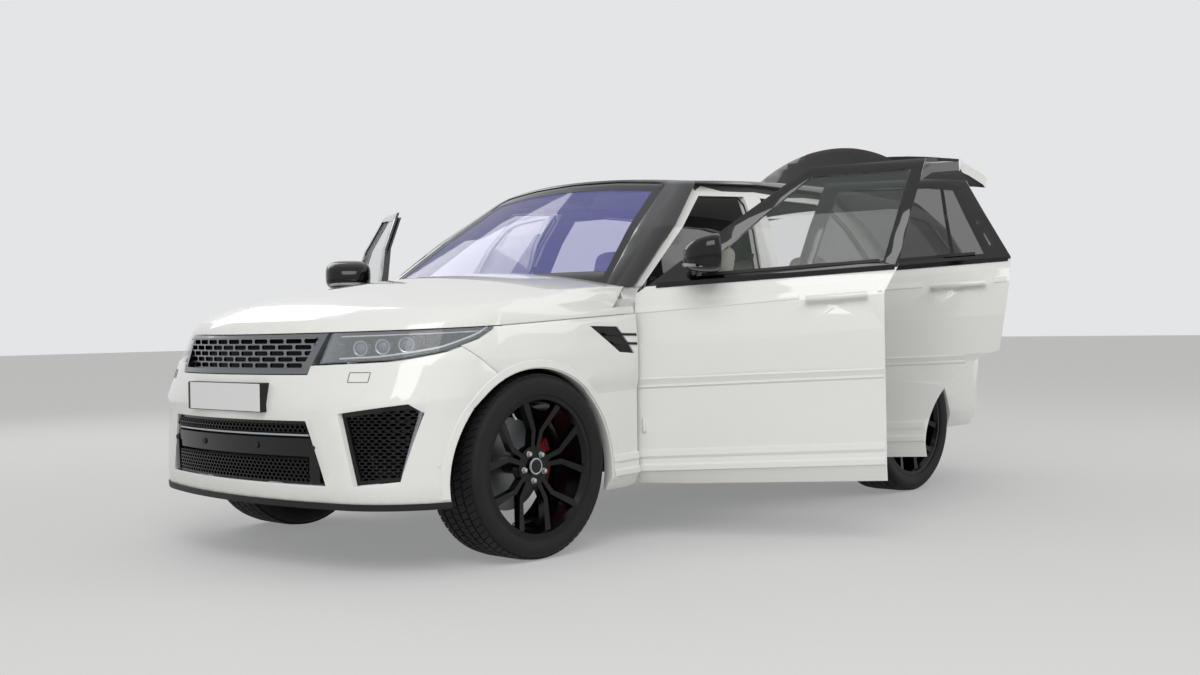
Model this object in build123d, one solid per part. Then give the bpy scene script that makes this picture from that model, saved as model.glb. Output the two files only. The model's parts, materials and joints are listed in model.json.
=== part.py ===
from build123d import *
import os
from math import asin, cos, degrees, hypot, radians, sin, sqrt

# A five-door sport utility vehicle with its doors and tailgate open, in millimetres.
# X runs forward from the front axle while the pieces are made, Y to the car's left, Z up.
# Every piece is then moved so that the origin is on the ground, on the centre plane,
# halfway along the whole object as it stands.
FRONT_AXLE_X = 1806

# Wheels and axles
WHEELBASE = 2923
WHEEL_CENTRE_Y = 845
TYRE_RADIUS = 388
TYRE_WIDTH = 290
RIM_RADIUS = 281
RIM_LIP = 18
RIM_WIDTH = 262
DISC_RADIUS = 197
STEER_AT_REST = 0
SPOKE_PAIR_ANGLE = 24

# Body
FRONT_OVERHANG = 886
REAR_OVERHANG = 1073
BODY_HALF_WIDTH = 991.5
SKIN = 12
WALL_OUTER = 62
WALL_INNER = 122
TRIM_DEPTH = 110
DOOR_DEPTH = 57
FRAME_DEPTH = 38
PILLAR_OUTER = 45
PILLAR_INNER = 85
SHUT_GAP = 7.5
REAR_SHUT_GAP = 9.5
GLASS = 5
GLASS_RECESS = 6
ARCH_RADIUS = 450
ARCH_X = 15
ARCH_Z = 345
ARCH_LIP = 10
LINER = 6
FLOOR_Z = 400
FLOOR_THICK = 30
FLOOR_TOP = FLOOR_Z + FLOOR_THICK
SILL_BOTTOM = 318
SILL_INNER_Y = 740
BULKHEAD_TOP = 1085
JACK_PAD_X = (-780, -2220)
JACK_PAD_Y = 815
JACK_PAD_Z = 306

# Doors, tailgate and bonnet: cut lines and opening angles
FRONT_DOOR_X = -607.5
REAR_DOOR_X = -1712.5
HINGE_BACK = 35
HINGE_PIN = 9
SEAT_GAP = 0.3
FRONT_DOOR_OPEN = 62
REAR_DOOR_OPEN = 69
TAILGATE_OPEN = 73
TAILGATE_HINGE_X = -3478
TAILGATE_HINGE_Z = 1722
BONNET_REAR_X = -600
NOSE_CORNER_RADIUS = 440
TAIL_CORNER_RADIUS = 260
PILLAR_CORNER_RADIUS = 95
BACK_CORNER_RADIUS = 180

# Shape of the lower body, one plan outline per level
# columns: height at the front axle, rise per unit rearwards, half width, nose x, tail x,
# how far the nose's plan curve falls back at the sides
LOWER_LEVELS = [
    (236, 0.026, BODY_HALF_WIDTH - 42, FRONT_OVERHANG - 66, -3925, 190),
    (290, 0.036, BODY_HALF_WIDTH - 10, FRONT_OVERHANG - 46, -3945, 190),
    (381, 0.043, BODY_HALF_WIDTH - 16, FRONT_OVERHANG - 28, -3965, 195),
    (659, 0.040, BODY_HALF_WIDTH - 13, FRONT_OVERHANG - 4, -3990, 258),
    (703, 0.037, BODY_HALF_WIDTH - 2, FRONT_OVERHANG, -3996, 285),
    (860, 0.045, BODY_HALF_WIDTH, FRONT_OVERHANG - 22, -3988, 370),
    (987, 0.056, BODY_HALF_WIDTH - 14, FRONT_OVERHANG - 62, -3970, 405),
    (1050, 0.056, BODY_HALF_WIDTH - 30, FRONT_OVERHANG - 108, -3958, 412),
    (1104, 0.052, BODY_HALF_WIDTH - 48, FRONT_OVERHANG - 240, -3945, 420),
    (1290, 0.052, BODY_HALF_WIDTH - 84, FRONT_OVERHANG - 520, -3880, 420),
]
TAIL_SAG = 110
WING_TAPER = 16
QUARTER_TAPER = 26
WING_KINK_X = -603.5
QUARTER_KINK_X = -2850

# Shape of the glazed upper body, in the same columns
UPPER_LEVELS = [
    (1020, 0.052, 958, -305, -3950, 165),
    (1104, 0.052, 940, -413, -3935, 165),
    (1400, 0.030, 842, -804, -3850, 165),
    (1655, 0.004, 714, -1141, -3716, 165),
    (1706, 0.000, 664, -1209, -3676, 165),
    (1790, 0.000, 540, -1320, -3600, 165),
]
BACK_SAG = 120

# Crowns of the bonnet and the roof: front, middle and rear points, then the drop at the side
BONNET_CROWN = ((775, 1036), (60, 1180), (-620, 1232))
BONNET_DROP = 92
BONNET_DROP_Y = 940
ROOF_CROWN = ((-1230, 1716), (-2250, 1760), (-3650, 1722))
ROOF_DROP = 34
ROOF_DROP_Y = 600

# Side view cut lines, as x and z
FRONT_DOOR_LINE = [
    (FRONT_DOOR_X, 200), (FRONT_DOOR_X, 1105), (-690, 1165), (-1362, 1662),
    (-1874, 1684), (-1761, 1198), (REAR_DOOR_X + SHUT_GAP, 1090), (REAR_DOOR_X + SHUT_GAP, 200),
]
REAR_DOOR_LINE = [
    (REAR_DOOR_X, 200), (REAR_DOOR_X, 1090), (-1761 - SHUT_GAP, 1198), (-1874 - SHUT_GAP, 1684),
    (-2400, 1676), (-2592, 1658), (-2826, 1262), (-2822, 1140), (-2776, 830), (-2776, 200),
]
REAR_DOOR_ARCH_RADIUS = 492
FRONT_WINDOW = [(-862, 1178), (-1372, 1617), (-1812, 1637), (-1700, 1222)]
REAR_WINDOW = [(-1846, 1228), (-1952, 1637), (-2398, 1630), (-2532, 1610), (-2700, 1280)]
FRONT_APERTURE = [
    (-712, 430), (-712, 1120), (-1395, 1606), (-1772, 1622), (-1660, 1180),
    (-1622, 1060), (-1622, 430),
]
REAR_APERTURE = [
    (-1778, 430), (-1778, 1060), (-1802, 1180), (-1908, 1622), (-2390, 1616),
    (-2530, 1596), (-2700, 1290), (-2700, 1120), (-2600, 900), (-2440, 720), (-2380, 560),
    (-2370, 430),
]

FRONT_HINGE_HEIGHTS = (520, 880)
REAR_HINGE_HEIGHTS = (540, 900)
REAR_WELL_Y = 612

_forms = {}


def level_face(level, tail_sag, taper, kinks, nose_r, tail_r, inset):
    """One plan outline of the body on its tilted level, moved inwards by inset.

    The sides are straight between the kinks and taper towards the nose and the tail.
    """
    height, slope, half, nose, tail, nose_sag = level
    half = half - inset
    nose = nose - inset
    tail = tail + inset
    front = (nose - nose_sag, half - taper[0])
    rear = (tail + tail_sag, half - taper[1])
    left = [front] + [(x, half) for x in kinks] + [rear]
    plane = Plane(origin=(0, 0, height), x_dir=(1, 0, -slope), z_dir=(slope, 0, 1))
    with BuildSketch(plane) as sketch:
        with BuildLine():
            ThreePointArc((front[0], -front[1]), (nose, 0), front)
            Polyline(left)
            ThreePointArc(rear, (tail, 0), (rear[0], -rear[1]))
            Polyline([(x, -y) for x, y in reversed(left)])
        make_face()
        corners = sketch.vertices().sort_by(Axis.X)
        fillet(corners[-2:], max(nose_r - inset, 30))
        corners = sketch.vertices().sort_by(Axis.X)
        fillet(corners[:2], max(tail_r - inset, 30))
    return sketch.sketch.faces()[0]


def lower_form(inset):
    """The lower body as one solid, moved inwards by inset."""
    key = ("lower", inset)
    if key not in _forms:
        faces = []
        for level in LOWER_LEVELS:
            faces.append(level_face(level, TAIL_SAG, (WING_TAPER, QUARTER_TAPER),
                                    (WING_KINK_X, QUARTER_KINK_X), NOSE_CORNER_RADIUS,
                                    TAIL_CORNER_RADIUS, inset))
        _forms[key] = loft(faces, ruled=True)
    return _forms[key]


def upper_form(inset):
    """The glazed upper body as one solid, moved inwards by inset."""
    key = ("upper", inset)
    if key not in _forms:
        faces = []
        for level in UPPER_LEVELS:
            faces.append(level_face(level, BACK_SAG, (0, QUARTER_TAPER),
                                    (QUARTER_KINK_X,), PILLAR_CORNER_RADIUS,
                                    BACK_CORNER_RADIUS, inset * 1.12))
        _forms[key] = loft(faces, ruled=True)
    return _forms[key]


def crown(points, drop, drop_y, lower_by):
    """Everything below a doubly curved crown that runs through three points in side view."""
    (x1, z1), (x2, z2), (x3, z3) = points
    d = 2 * (x1 * (z2 - z3) + x2 * (z3 - z1) + x3 * (z1 - z2))
    s1, s2, s3 = x1 * x1 + z1 * z1, x2 * x2 + z2 * z2, x3 * x3 + z3 * z3
    cx = (s1 * (z2 - z3) + s2 * (z3 - z1) + s3 * (z1 - z2)) / d
    cz = (s1 * (x3 - x2) + s2 * (x1 - x3) + s3 * (x2 - x1)) / d
    radius = hypot(x2 - cx, z2 - cz) - lower_by
    cross_radius = (drop_y ** 2 + drop ** 2) / (2 * drop)
    half = 1150
    edge = radius - cross_radius + sqrt(cross_radius ** 2 - half ** 2)
    plane = Plane(origin=(cx, 0, cz), x_dir=(0, 1, 0), z_dir=(1, 0, 0))
    with BuildSketch(plane) as sketch:
        with BuildLine():
            Line((-half, radius - 1300), (-half, edge))
            ThreePointArc((-half, edge), (0, radius), (half, edge))
            Line((half, edge), (half, radius - 1300))
            Line((half, radius - 1300), (-half, radius - 1300))
        make_face()
    sweep_front = degrees(asin(min(0.9, (1100 - cx) / radius)))
    sweep_rear = degrees(asin(max(-0.9, (-4300 - cx) / radius)))
    axis = Axis((cx, 0, cz), (0, 1, 0))
    body = revolve(sketch.sketch.rotate(axis, sweep_front), axis, -(sweep_front - sweep_rear))
    return body


def bonnet_crown(lower_by):
    """The space below the bonnet's outer surface, lowered by its thickness."""
    key = ("bonnet", lower_by)
    if key not in _forms:
        _forms[key] = crown(BONNET_CROWN, BONNET_DROP, BONNET_DROP_Y, lower_by)
    return _forms[key]


def roof_crown(lower_by):
    """The space below the roof's outer surface, lowered by its thickness."""
    key = ("roof", lower_by)
    if key not in _forms:
        _forms[key] = crown(ROOF_CROWN, ROOF_DROP, ROOF_DROP_Y, lower_by)
    return _forms[key]


def side_prism(points, y_from, y_to):
    """A side view outline in x and z, drawn out across the car from y_from to y_to."""
    plane = Plane(origin=(0, y_to, 0), x_dir=(1, 0, 0), z_dir=(0, -1, 0))
    with BuildSketch(plane) as sketch:
        with BuildLine():
            Polyline(points, close=True)
        make_face()
    return extrude(sketch.sketch, y_to - y_from)


def front_prism(points, x_from, x_to):
    """A front view outline in y and z, drawn out along the car from x_from to x_to."""
    plane = Plane(origin=(x_from, 0, 0), x_dir=(0, 1, 0), z_dir=(1, 0, 0))
    with BuildSketch(plane) as sketch:
        with BuildLine():
            Polyline(points, close=True)
        make_face()
    return extrude(sketch.sketch, x_to - x_from)


def front_prisms(outlines, x_from, x_to):
    """Many separate front view outlines, drawn out along the car as one set of cutters."""
    return [front_prism(points, x_from, x_to) for points in outlines]


def grow(points, amount):
    """A closed outline moved outwards, or inwards where the amount is negative."""
    with BuildSketch() as sketch:
        with BuildLine():
            Polyline(points, close=True)
        make_face()
    face = offset(sketch.sketch, amount, kind=Kind.INTERSECTION).faces()[0]
    edges = face.outer_wire().order_edges()
    grown = []
    for edge, following in zip(edges, edges[1:] + edges[:1]):
        ends = [edge @ 0, edge @ 1]
        next_ends = [following @ 0, following @ 1]
        shared = min(ends, key=lambda p: min((p - q).length for q in next_ends))
        grown.append((shared.X, shared.Y))
    return grown


def box(x_from, x_to, y_from, y_to, z_from, z_to):
    """A plain block between two corners."""
    size = (x_to - x_from, y_to - y_from, z_to - z_from)
    return Pos((x_from + x_to) / 2, (y_from + y_to) / 2, (z_from + z_to) / 2) * Box(*size)


def rod(start, end, radius):
    """A round bar between two points."""
    line = Vector(*end) - Vector(*start)
    plane = Plane(origin=start, z_dir=line.normalized())
    return extrude(plane * Circle(radius), line.length)


def lying_cylinder(x, z, radius, y_from, y_to):
    """A cylinder across the car."""
    plane = Plane(origin=(x, y_from, z), x_dir=(1, 0, 0), z_dir=(0, 1, 0))
    return extrude(plane * Circle(radius), y_to - y_from)


def mirrored(shape):
    """The same piece on the car's right."""
    return mirror(shape, about=Plane.XZ)


def both(shape):
    """The piece and its mirror image, as solids that do not touch."""
    return Compound(children=[Part() + shape, Part() + mirrored(shape)])


def level_z(index, x):
    """The height of one lower level at a place along the car."""
    return LOWER_LEVELS[index][0] - LOWER_LEVELS[index][1] * x


def below_line(points, drop=0):
    """Everything under a side view line given from front to rear, and drop lower."""
    front, rear = points[0], points[-1]
    outline = [(front[0], -200)] + [(x, z - drop) for x, z in points] + [(rear[0], -200)]
    return side_prism(outline, -1300, 1300)


def above_line(points, raise_by=0):
    """Everything over a side view line given from front to rear, and raise_by higher."""
    front, rear = points[0], points[-1]
    outline = [(front[0], 2600)] + [(x, z + raise_by) for x, z in points] + [(rear[0], 2600)]
    return side_prism(outline, -1300, 1300)


def belt_line():
    """The line under the windows."""
    return [(1200, level_z(8, 1200)), (-4400, level_z(8, -4400))]


BONNET_LINE = [(1200, 943), (850, 955), (205, 977), (-560, 1019), (-4400, 1234)]
LAMP_LINE = [(1200, 818), (820, 826), (620, 842), (450, 876), (310, 924), (236, 962), (222, 990)]
WING_SHUT = [(388, 1000), (388, 894), (188, 757), (188, 200)]
TRIM_GAP = 4
BUMPER_SKIN = 22
BUMPER_BOTTOM = 288
REAR_BUMPER_BOTTOM = 330
LAMP_INNER = [(508, 780), (530, 1000)]
GRILLE_OUTER = [(470, 795), (515, 975)]
GRILLE_INNER = [(438, 816), (472, 938)]
INTAKE_CENTRE = [(489, 610), (578, 356)]
INTAKE_SIDE = [(640, 640), (880, 676), (912, 640), (856, 376), (704, 358)]
TAILGATE_LINE = [(622, 806), (622, 1120), (700, 1290), (612, 1652), (596, 1800)]
TAILGATE_FRONT_X = -3448
TAIL_LAMP = (-3560, 985, 1118)
REAR_BUMPER_LINE = [(-3290, 640), (-3420, 720), (-3640, 800), (-4400, 800)]
WINDSCREEN = [(835, 1140), (600, 1655), (560, 1676), (300, 1697), (0, 1704)]
QUARTER_WINDOW = [(-2668, 1596), (-3160, 1590), (-3420, 1560), (-3560, 1330), (-2865, 1300)]


def symmetric(points):
    """A front view outline closed with its own mirror image."""
    return points + [(-y, z) for y, z in reversed(points) if y != 0]


def rear_arch(radius, y_from=560, y_to=1200):
    """The rear wheel arch as a cylinder across the left side."""
    return lying_cylinder(ARCH_X - WHEELBASE, ARCH_Z, radius, y_from, y_to)


def front_arch(radius, y_from=470, y_to=1200):
    """The front wheel arch as a cylinder across the left side."""
    return lying_cylinder(ARCH_X, ARCH_Z, radius, y_from, y_to)


def front_door_region(growth):
    """The front door's outline across the left side, grown by a gap."""
    return side_prism(grow(FRONT_DOOR_LINE, growth) if growth else FRONT_DOOR_LINE, 300, 1200)


def rear_door_region(growth):
    """The rear door's outline across the left side, grown by a gap, with its arch."""
    region = side_prism(grow(REAR_DOOR_LINE, growth) if growth else REAR_DOOR_LINE, 300, 1200)
    return region - rear_arch(REAR_DOOR_ARCH_RADIUS - growth, 200, 1300)


def door_panel(region, hinge_x, inner, aperture, window, bottom):
    """A door with a thin outer edge that laps the pillars and a thick middle."""
    leading = box(hinge_x - 60, hinge_x + 200, 0, 1300, 0, 1350)
    thick = inner - leading
    bulge = side_prism(grow(aperture, -12), 300, 1200)
    left = box(-3200, 0, 300, 1200, bottom, 2000)
    edge_cut = region - thick
    lower = lower_form(0) & region & below_line(belt_line()) & left
    lower = lower - [lower_form(SKIN) & edge_cut, (lower_form(DOOR_DEPTH) & region) - bulge,
                     lower_form(TRIM_DEPTH)]
    frame = upper_form(0) & region & above_line(belt_line(), -30)
    frame = frame - [upper_form(SKIN) & edge_cut, upper_form(FRAME_DEPTH), side_prism(window, 300, 1200)]
    return lower + frame


def door_handle(x_front, x_rear, z_front, z_rear):
    """A pull handle on two feet."""
    y = BODY_HALF_WIDTH + 14
    bar = rod((x_front, y, z_front), (x_rear, y, z_rear), 13)
    front_foot = rod((x_front - 22, y - 45, z_front), (x_front - 22, y, z_front), 11)
    rear_foot = rod((x_rear + 22, y - 45, z_rear), (x_rear + 22, y, z_rear), 11)
    return bar + front_foot + rear_foot


def handle_dish(x, z):
    """The hollow behind a handle."""
    radius = 115
    return Pos(x, BODY_HALF_WIDTH + radius - 20, z) * Sphere(radius)


def window_glass(window):
    """A side window that fills its opening in the frame."""
    pane = upper_form(GLASS_RECESS) & side_prism(window, 300, 1200)
    return pane - upper_form(GLASS_RECESS + GLASS)


def door_hinges(door_x, heights, fixed):
    """The pins of one left door, or the fixed straps that reach them from the pillar."""
    x, y = door_x - HINGE_BACK, BODY_HALF_WIDTH - SKIN
    parts = Part()
    for z in heights:
        if fixed:
            parts = parts + box(x - 18, x - 2, y - 62, y - HINGE_PIN - SEAT_GAP, z - 22, z + 22)
        else:
            parts = parts + Pos(x, y, z) * Cylinder(HINGE_PIN, 60)
    return parts


def make_front_door():
    region = front_door_region(0)
    inner = side_prism(grow(FRONT_DOOR_LINE, -28), 300, 1200)
    z = 1074
    panel = door_panel(region, FRONT_DOOR_X, inner, FRONT_APERTURE, FRONT_WINDOW, 258)
    panel = panel - handle_dish(-1500, z) + door_handle(-1374, -1637, z - 8, z + 8)
    return panel + door_hinges(FRONT_DOOR_X, FRONT_HINGE_HEIGHTS, False)


def make_rear_door():
    region = rear_door_region(0)
    inner = side_prism(grow(REAR_DOOR_LINE, -28), 300, 1200)
    inner = inner - rear_arch(REAR_DOOR_ARCH_RADIUS + 28, 200, 1300)
    z = 1134
    panel = door_panel(region, REAR_DOOR_X, inner, REAR_APERTURE, REAR_WINDOW, 288)
    panel = panel - handle_dish(-2580, z) + door_handle(-2456, -2716, z - 6, z + 6)
    return panel + door_hinges(REAR_DOOR_X, REAR_HINGE_HEIGHTS, False)


MIRROR_SECTIONS = [
    # columns: x, y, z, width, height, corner radius
    (-940, 1087, 1275, 232, 148, 52),
    (-932, 1087, 1275, 252, 168, 60),
    (-890, 1086, 1270, 244, 158, 60),
    (-852, 1083, 1263, 202, 126, 52),
    (-830, 1080, 1259, 140, 84, 36),
]


def make_mirror():
    """A door mirror on its foot at the front corner of the window."""
    sections = []
    for x, y, z, width, height, radius in MIRROR_SECTIONS:
        plane = Plane(origin=(x, y, z), x_dir=(0, 1, 0), z_dir=(1, 0, 0))
        sections.append((plane * RectangleRounded(width, height, radius)).faces()[0])
    head = loft(sections, ruled=True)
    cup = Pos(-935, 1087, 1275) * Box(16, 200, 116)
    foot = rod((-850, 905, 1180), (-890, 1010, 1206), 22)
    foot = foot + rod((-890, 1010, 1206), (-895, 1045, 1228), 24)
    return largest((head - cup + foot) - upper_form(0))


def make_wing():
    """A front wing, cut round the wheel, the lamp and the bumper."""
    region = below_line(BONNET_LINE, TRIM_GAP) & side_prism(
        [(-600, 262), (-600, 1200), (WING_SHUT[0][0], 1200)] + WING_SHUT + [(-300, 200)], 300, 1200)
    region = region & below_line_behind_lamp()
    outer = lower_form(0) & region
    vent = side_prism(VENT, 900, 1200)
    wing = outer - [lower_form(SKIN), front_arch(ARCH_RADIUS), vent]
    lip = front_arch(ARCH_RADIUS + ARCH_LIP, 925, 1200) - front_arch(ARCH_RADIUS, 900, 1250)
    return wing + (lip & outer)


def below_line_behind_lamp():
    """Under the lamp's lower edge, and everywhere behind the lamp."""
    line = [(x, z) for x, z in LAMP_LINE if x <= 460]
    outline = [(1200, 200), (1200, line[0][1]), (460, line[0][1])]
    outline = outline + [(x, z) for x, z in line[1:]] + [(LAMP_LINE[-1][0], 1300), (-900, 1300), (-900, 200)]
    return side_prism(outline, -1300, 1300)


def lamp_region(shrink):
    """The room for a left headlamp."""
    region = above_line([(x, z + shrink) for x, z in LAMP_LINE])
    region = region & below_line(BONNET_LINE, TRIM_GAP)
    (y1, z1), (y2, z2) = LAMP_INNER
    region = region & front_prism([(y1 + shrink, z1), (y2 + shrink, z2), (1200, z2), (1200, z1)], 0, 1000)
    return region


def make_headlamp():
    """A clear lens with its side walls, open to the back."""
    room = lower_form(7) & lamp_region(TRIM_GAP + 4)
    return largest((lower_form(2) & lamp_region(TRIM_GAP)) - [lower_form(100), room])


def grille_region(points):
    """A trapezoid through the nose, wider at the top."""
    (y1, z1), (y2, z2) = points
    return front_prism([(-y1, z1), (y1, z1), (y2, z2), (-y2, z2)], 300, 1000)


def make_front_bumper():
    """The bumper skin with its openings."""
    outline = [(1000, BUMPER_BOTTOM), (1000, 1000)]
    shut = [(x + TRIM_GAP, z) for x, z in WING_SHUT]
    outline = outline + shut[:3] + [(200, BUMPER_BOTTOM)]
    region = side_prism(outline, -1200, 1200)
    side = front_prism(INTAKE_SIDE, 400, 1000)
    arch = front_arch(ARCH_RADIUS, 300, 1300)
    cutters = [
        lower_form(BUMPER_SKIN), above_line([(x, z - 2) for x, z in LAMP_LINE]),
        grille_region(grow_pair(GRILLE_OUTER, TRIM_GAP)), grille_region(INTAKE_CENTRE),
        side, mirrored(side), arch, mirrored(arch),
    ]
    return largest((lower_form(0) & region) - cutters)


def grow_pair(points, amount):
    """A trapezoid's two corners moved outwards."""
    (y1, z1), (y2, z2) = points
    low = amount if z1 < z2 else -amount
    return [(y1 + amount, z1 - low), (y2 + amount, z2 + low)]


def largest(shape):
    """The biggest solid, without any sliver that a cut leaves."""
    return Part() + sorted(shape.solids(), key=lambda s: s.volume)[-1]


def make_splitter():
    """The dark lip under the front bumper."""
    region = side_prism([(1000, 262), (1000, BUMPER_BOTTOM), (450, BUMPER_BOTTOM), (450, 262)], -1200, 1200)
    lip = (lower_form(-6) & region) - lower_form(90)
    arch = front_arch(ARCH_RADIUS, 300, 1300)
    return lip - arch - mirrored(arch)


def hexagon(y, z, half_width, half_height):
    """A flat topped cell of a mesh in front view."""
    cut = half_height * 0.6
    return [(y - half_width, z), (y - half_width + cut, z + half_height),
            (y + half_width - cut, z + half_height), (y + half_width, z),
            (y + half_width - cut, z - half_height), (y - half_width + cut, z - half_height)]


def nose_radius(index):
    """The radius of the nose's plan curve at one lower level."""
    half, sag = LOWER_LEVELS[index][2] - WING_TAPER, LOWER_LEVELS[index][5]
    return (half ** 2 + sag ** 2) / (2 * sag)


def curved_plate(nose_x, thick, radius):
    """An upright plate that follows the nose's curve."""
    centre = Pos(nose_x - radius, 0, 200)
    ring = Cylinder(radius, 1000, align=(Align.CENTER, Align.CENTER, Align.MIN))
    ring = ring - Cylinder(radius - thick, 1000, align=(Align.CENTER, Align.CENTER, Align.MIN))
    return (centre * ring) & box(nose_x - 500, nose_x + 10, -1200, 1200, 200, 1200)


def make_grille():
    """The main grille: a dark frame and its mesh."""
    top = below_line(BONNET_LINE, TRIM_GAP)
    frame = (lower_form(5) & grille_region(GRILLE_OUTER) & top) - lower_form(60)
    frame = frame - grille_region(GRILLE_INNER)
    plate = curved_plate(FRONT_OVERHANG - 58, 10, nose_radius(5)) & grille_region(grow_pair(GRILLE_INNER, 2))
    rows = 5
    z1, z2 = GRILLE_INNER[0][1], GRILLE_INNER[1][1]
    pitch = (z2 - z1) / rows
    cells = []
    for row in range(rows):
        z = z1 + pitch * (row + 0.5)
        for column in range(-6, 7):
            y = 92 * (column + (0.5 if row % 2 else 0))
            if abs(y) < 560:
                cells.append(hexagon(y, z, 41, pitch / 2 - 3))
    return frame + (plate - front_prisms(cells, 300, 1000))


def slatted(region, nose_x, z_from, z_to, count):
    """Horizontal slats that follow the nose."""
    strips = Part()
    for index in range(count):
        z = z_from + (z_to - z_from) * (index + 0.5) / count
        strips = strips + box(300, 1000, -1200, 1200, z - 3, z + 3)
    return curved_plate(nose_x, 12, nose_radius(2)) & region & strips


def make_lower_grilles():
    """The centre intake with its beam, and the two side intakes."""
    centre = grille_region(grow_pair(INTAKE_CENTRE, -2))
    (y1, z1), (y2, z2) = INTAKE_CENTRE
    rim = (lower_form(16) & centre) - lower_form(60) - grille_region(grow_pair(INTAKE_CENTRE, -16))
    beam = (lower_form(8) & centre & box(300, 1000, -1200, 1200, 468, 540)) - lower_form(WALL_OUTER)
    slats = slatted(centre, FRONT_OVERHANG - 40, z2 + 10, 468, 4)
    slats = slats + slatted(centre, FRONT_OVERHANG - 34, 540, z1 - 8, 3)
    middle = rim + beam + slats
    side = front_prism(grow(INTAKE_SIDE, -2), 400, 1000)
    hollow = front_prism(grow(INTAKE_SIDE, -18), 380, 1100)
    side_rim = (lower_form(16) & side) - lower_form(70) - hollow
    strips = [box(300, 1000, 500, 1100, z - 3, z + 3) for z in range(390, 660, 36)]
    side_slats = (side & lower_form(40) & (Part() + strips)) - lower_form(54)
    flank = (side_rim + side_slats) - front_arch(ARCH_RADIUS + LINER + 3, 300, 1300)
    return Compound(children=[middle, flank, mirrored(flank)])


def make_bonnet():
    """The bonnet, which wraps over the wings."""
    region = above_line(BONNET_LINE) & box(BONNET_REAR_X + 8, 1000, -1200, 1200, 800, 1500)
    outer = bonnet_crown(0) & lower_form(0) & region
    inner = bonnet_crown(22) & lower_form(22)
    return largest(outer - inner - upper_form(-28))


def make_scuttle():
    """The dark panel between the bonnet and the windscreen."""
    strip = (bonnet_crown(28) - bonnet_crown(70)) & upper_form(-70)
    strip = strip & box(-900, 0, -830, 830, 900, 1400)
    return largest(strip - upper_form(0))


def screen_prism():
    return front_prism(symmetric(WINDSCREEN), -1560, 0)


def make_windscreen():
    glass = (upper_form(3) & screen_prism()) - upper_form(9)
    return largest(glass & box(-1560, 0, -1000, 1000, 1120, 1720))


def tailgate_region(growth):
    """The tailgate's outline through the rear of the car, grown by a gap."""
    points = [(y + growth, z - (growth if z < 900 else 0)) for y, z in TAILGATE_LINE]
    behind = front_prism(symmetric(points), -4400, -3560)
    roof = box(-4400, TAILGATE_FRONT_X + growth, -TAILGATE_LINE[-1][0] - growth,
               TAILGATE_LINE[-1][0] + growth, 1655, 2000)
    return behind + roof


def make_roof():
    """The dark roof with its pillars, cut round the doors, screen and tailgate."""
    outer = upper_form(0) & roof_crown(0) & above_line(belt_line())
    inner = upper_form(PILLAR_OUTER) & roof_crown(28)
    cutters = [inner, screen_prism(), tailgate_region(REAR_SHUT_GAP)]
    window = side_prism(QUARTER_WINDOW, 300, 1200)
    for cutter in (front_door_region(SHUT_GAP), rear_door_region(REAR_SHUT_GAP), window):
        cutters = cutters + [cutter, mirrored(cutter)]
    return largest(outer - cutters)


def make_quarter_window():
    return (upper_form(4) & side_prism(QUARTER_WINDOW, 300, 1200)) - upper_form(10)


def make_quarter_panel():
    """The side panel round the rear wheel, behind the rear door."""
    region = box(-3900, -2385, 300, 1200, 300, 1500) & below_line(belt_line())
    x, z1, z2 = TAIL_LAMP
    cutters = [
        lower_form(WALL_OUTER), rear_door_region(SHUT_GAP), rear_arch(ARCH_RADIUS),
        tailgate_region(REAR_SHUT_GAP), below_line(REAR_BUMPER_LINE, -TRIM_GAP),
        box(-4400, x, 300, 1200, z1, z2),
    ]
    return largest((lower_form(0) & region) - cutters)


def make_tail_lamp():
    x, z1, z2 = TAIL_LAMP
    room = box(-4400, x - TRIM_GAP, 300, 1200, z1 + TRIM_GAP, z2 - TRIM_GAP)
    lamp = (lower_form(1) & room) - lower_form(WALL_OUTER)
    return largest(lamp - tailgate_region(REAR_SHUT_GAP))


def make_rear_bumper():
    """The rear bumper skin, from one wheel arch round to the other."""
    region = below_line(REAR_BUMPER_LINE) & box(-4400, -3290, -1200, 1200, REAR_BUMPER_BOTTOM, 900)
    arch = rear_arch(ARCH_RADIUS, 300, 1300)
    cutters = [lower_form(WALL_OUTER), arch, mirrored(arch), pipe_room()]
    return largest((lower_form(0) & region) - cutters)


def make_diffuser():
    """The dark lower edge of the rear bumper, cut round the tail pipes."""
    level = (264, 0, BODY_HALF_WIDTH - 40, FRONT_OVERHANG - 66, -3928, 190)
    height = REAR_BUMPER_BOTTOM + 20 - level[0]
    outer, inner = [
        extrude(level_face(level, TAIL_SAG, (WING_TAPER, QUARTER_TAPER),
                           (WING_KINK_X, QUARTER_KINK_X), NOSE_CORNER_RADIUS, TAIL_CORNER_RADIUS, inset), height)
        for inset in (0, 120)]
    return largest((outer & box(-4400, -3700, -700, 700, 200, 400)) - [inner, pipe_room(), lower_form(0)])


def pipe_room():
    """The slots for the two pairs of tail pipes, grown by a gap."""
    radius = TAIL_PIPE_RADIUS + 6
    slot = box(-4400, -3742, 430 - radius, 540 + radius, 200, TAIL_PIPE_Z + radius)
    return slot + mirrored(slot)


TAIL_PIPE_RADIUS = 48
TAIL_PIPE_Z = 322
TAIL_PIPE_END = -3942


def tail_pipes(radius, x_from):
    """Four round bars along the car where the tail pipes run, hollow at their ends."""
    pipes = Part()
    for y in (-540, -430, 430, 540):
        plane = Plane(origin=(x_from, y, TAIL_PIPE_Z), z_dir=(-1, 0, 0))
        mouth = Plane(origin=(TAIL_PIPE_END + 90, y, TAIL_PIPE_Z), z_dir=(-1, 0, 0))
        pipes = pipes + (extrude(plane * Circle(radius), x_from - TAIL_PIPE_END)
                         - extrude(mouth * Circle(radius - 5), 200))
    return pipes


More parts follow.
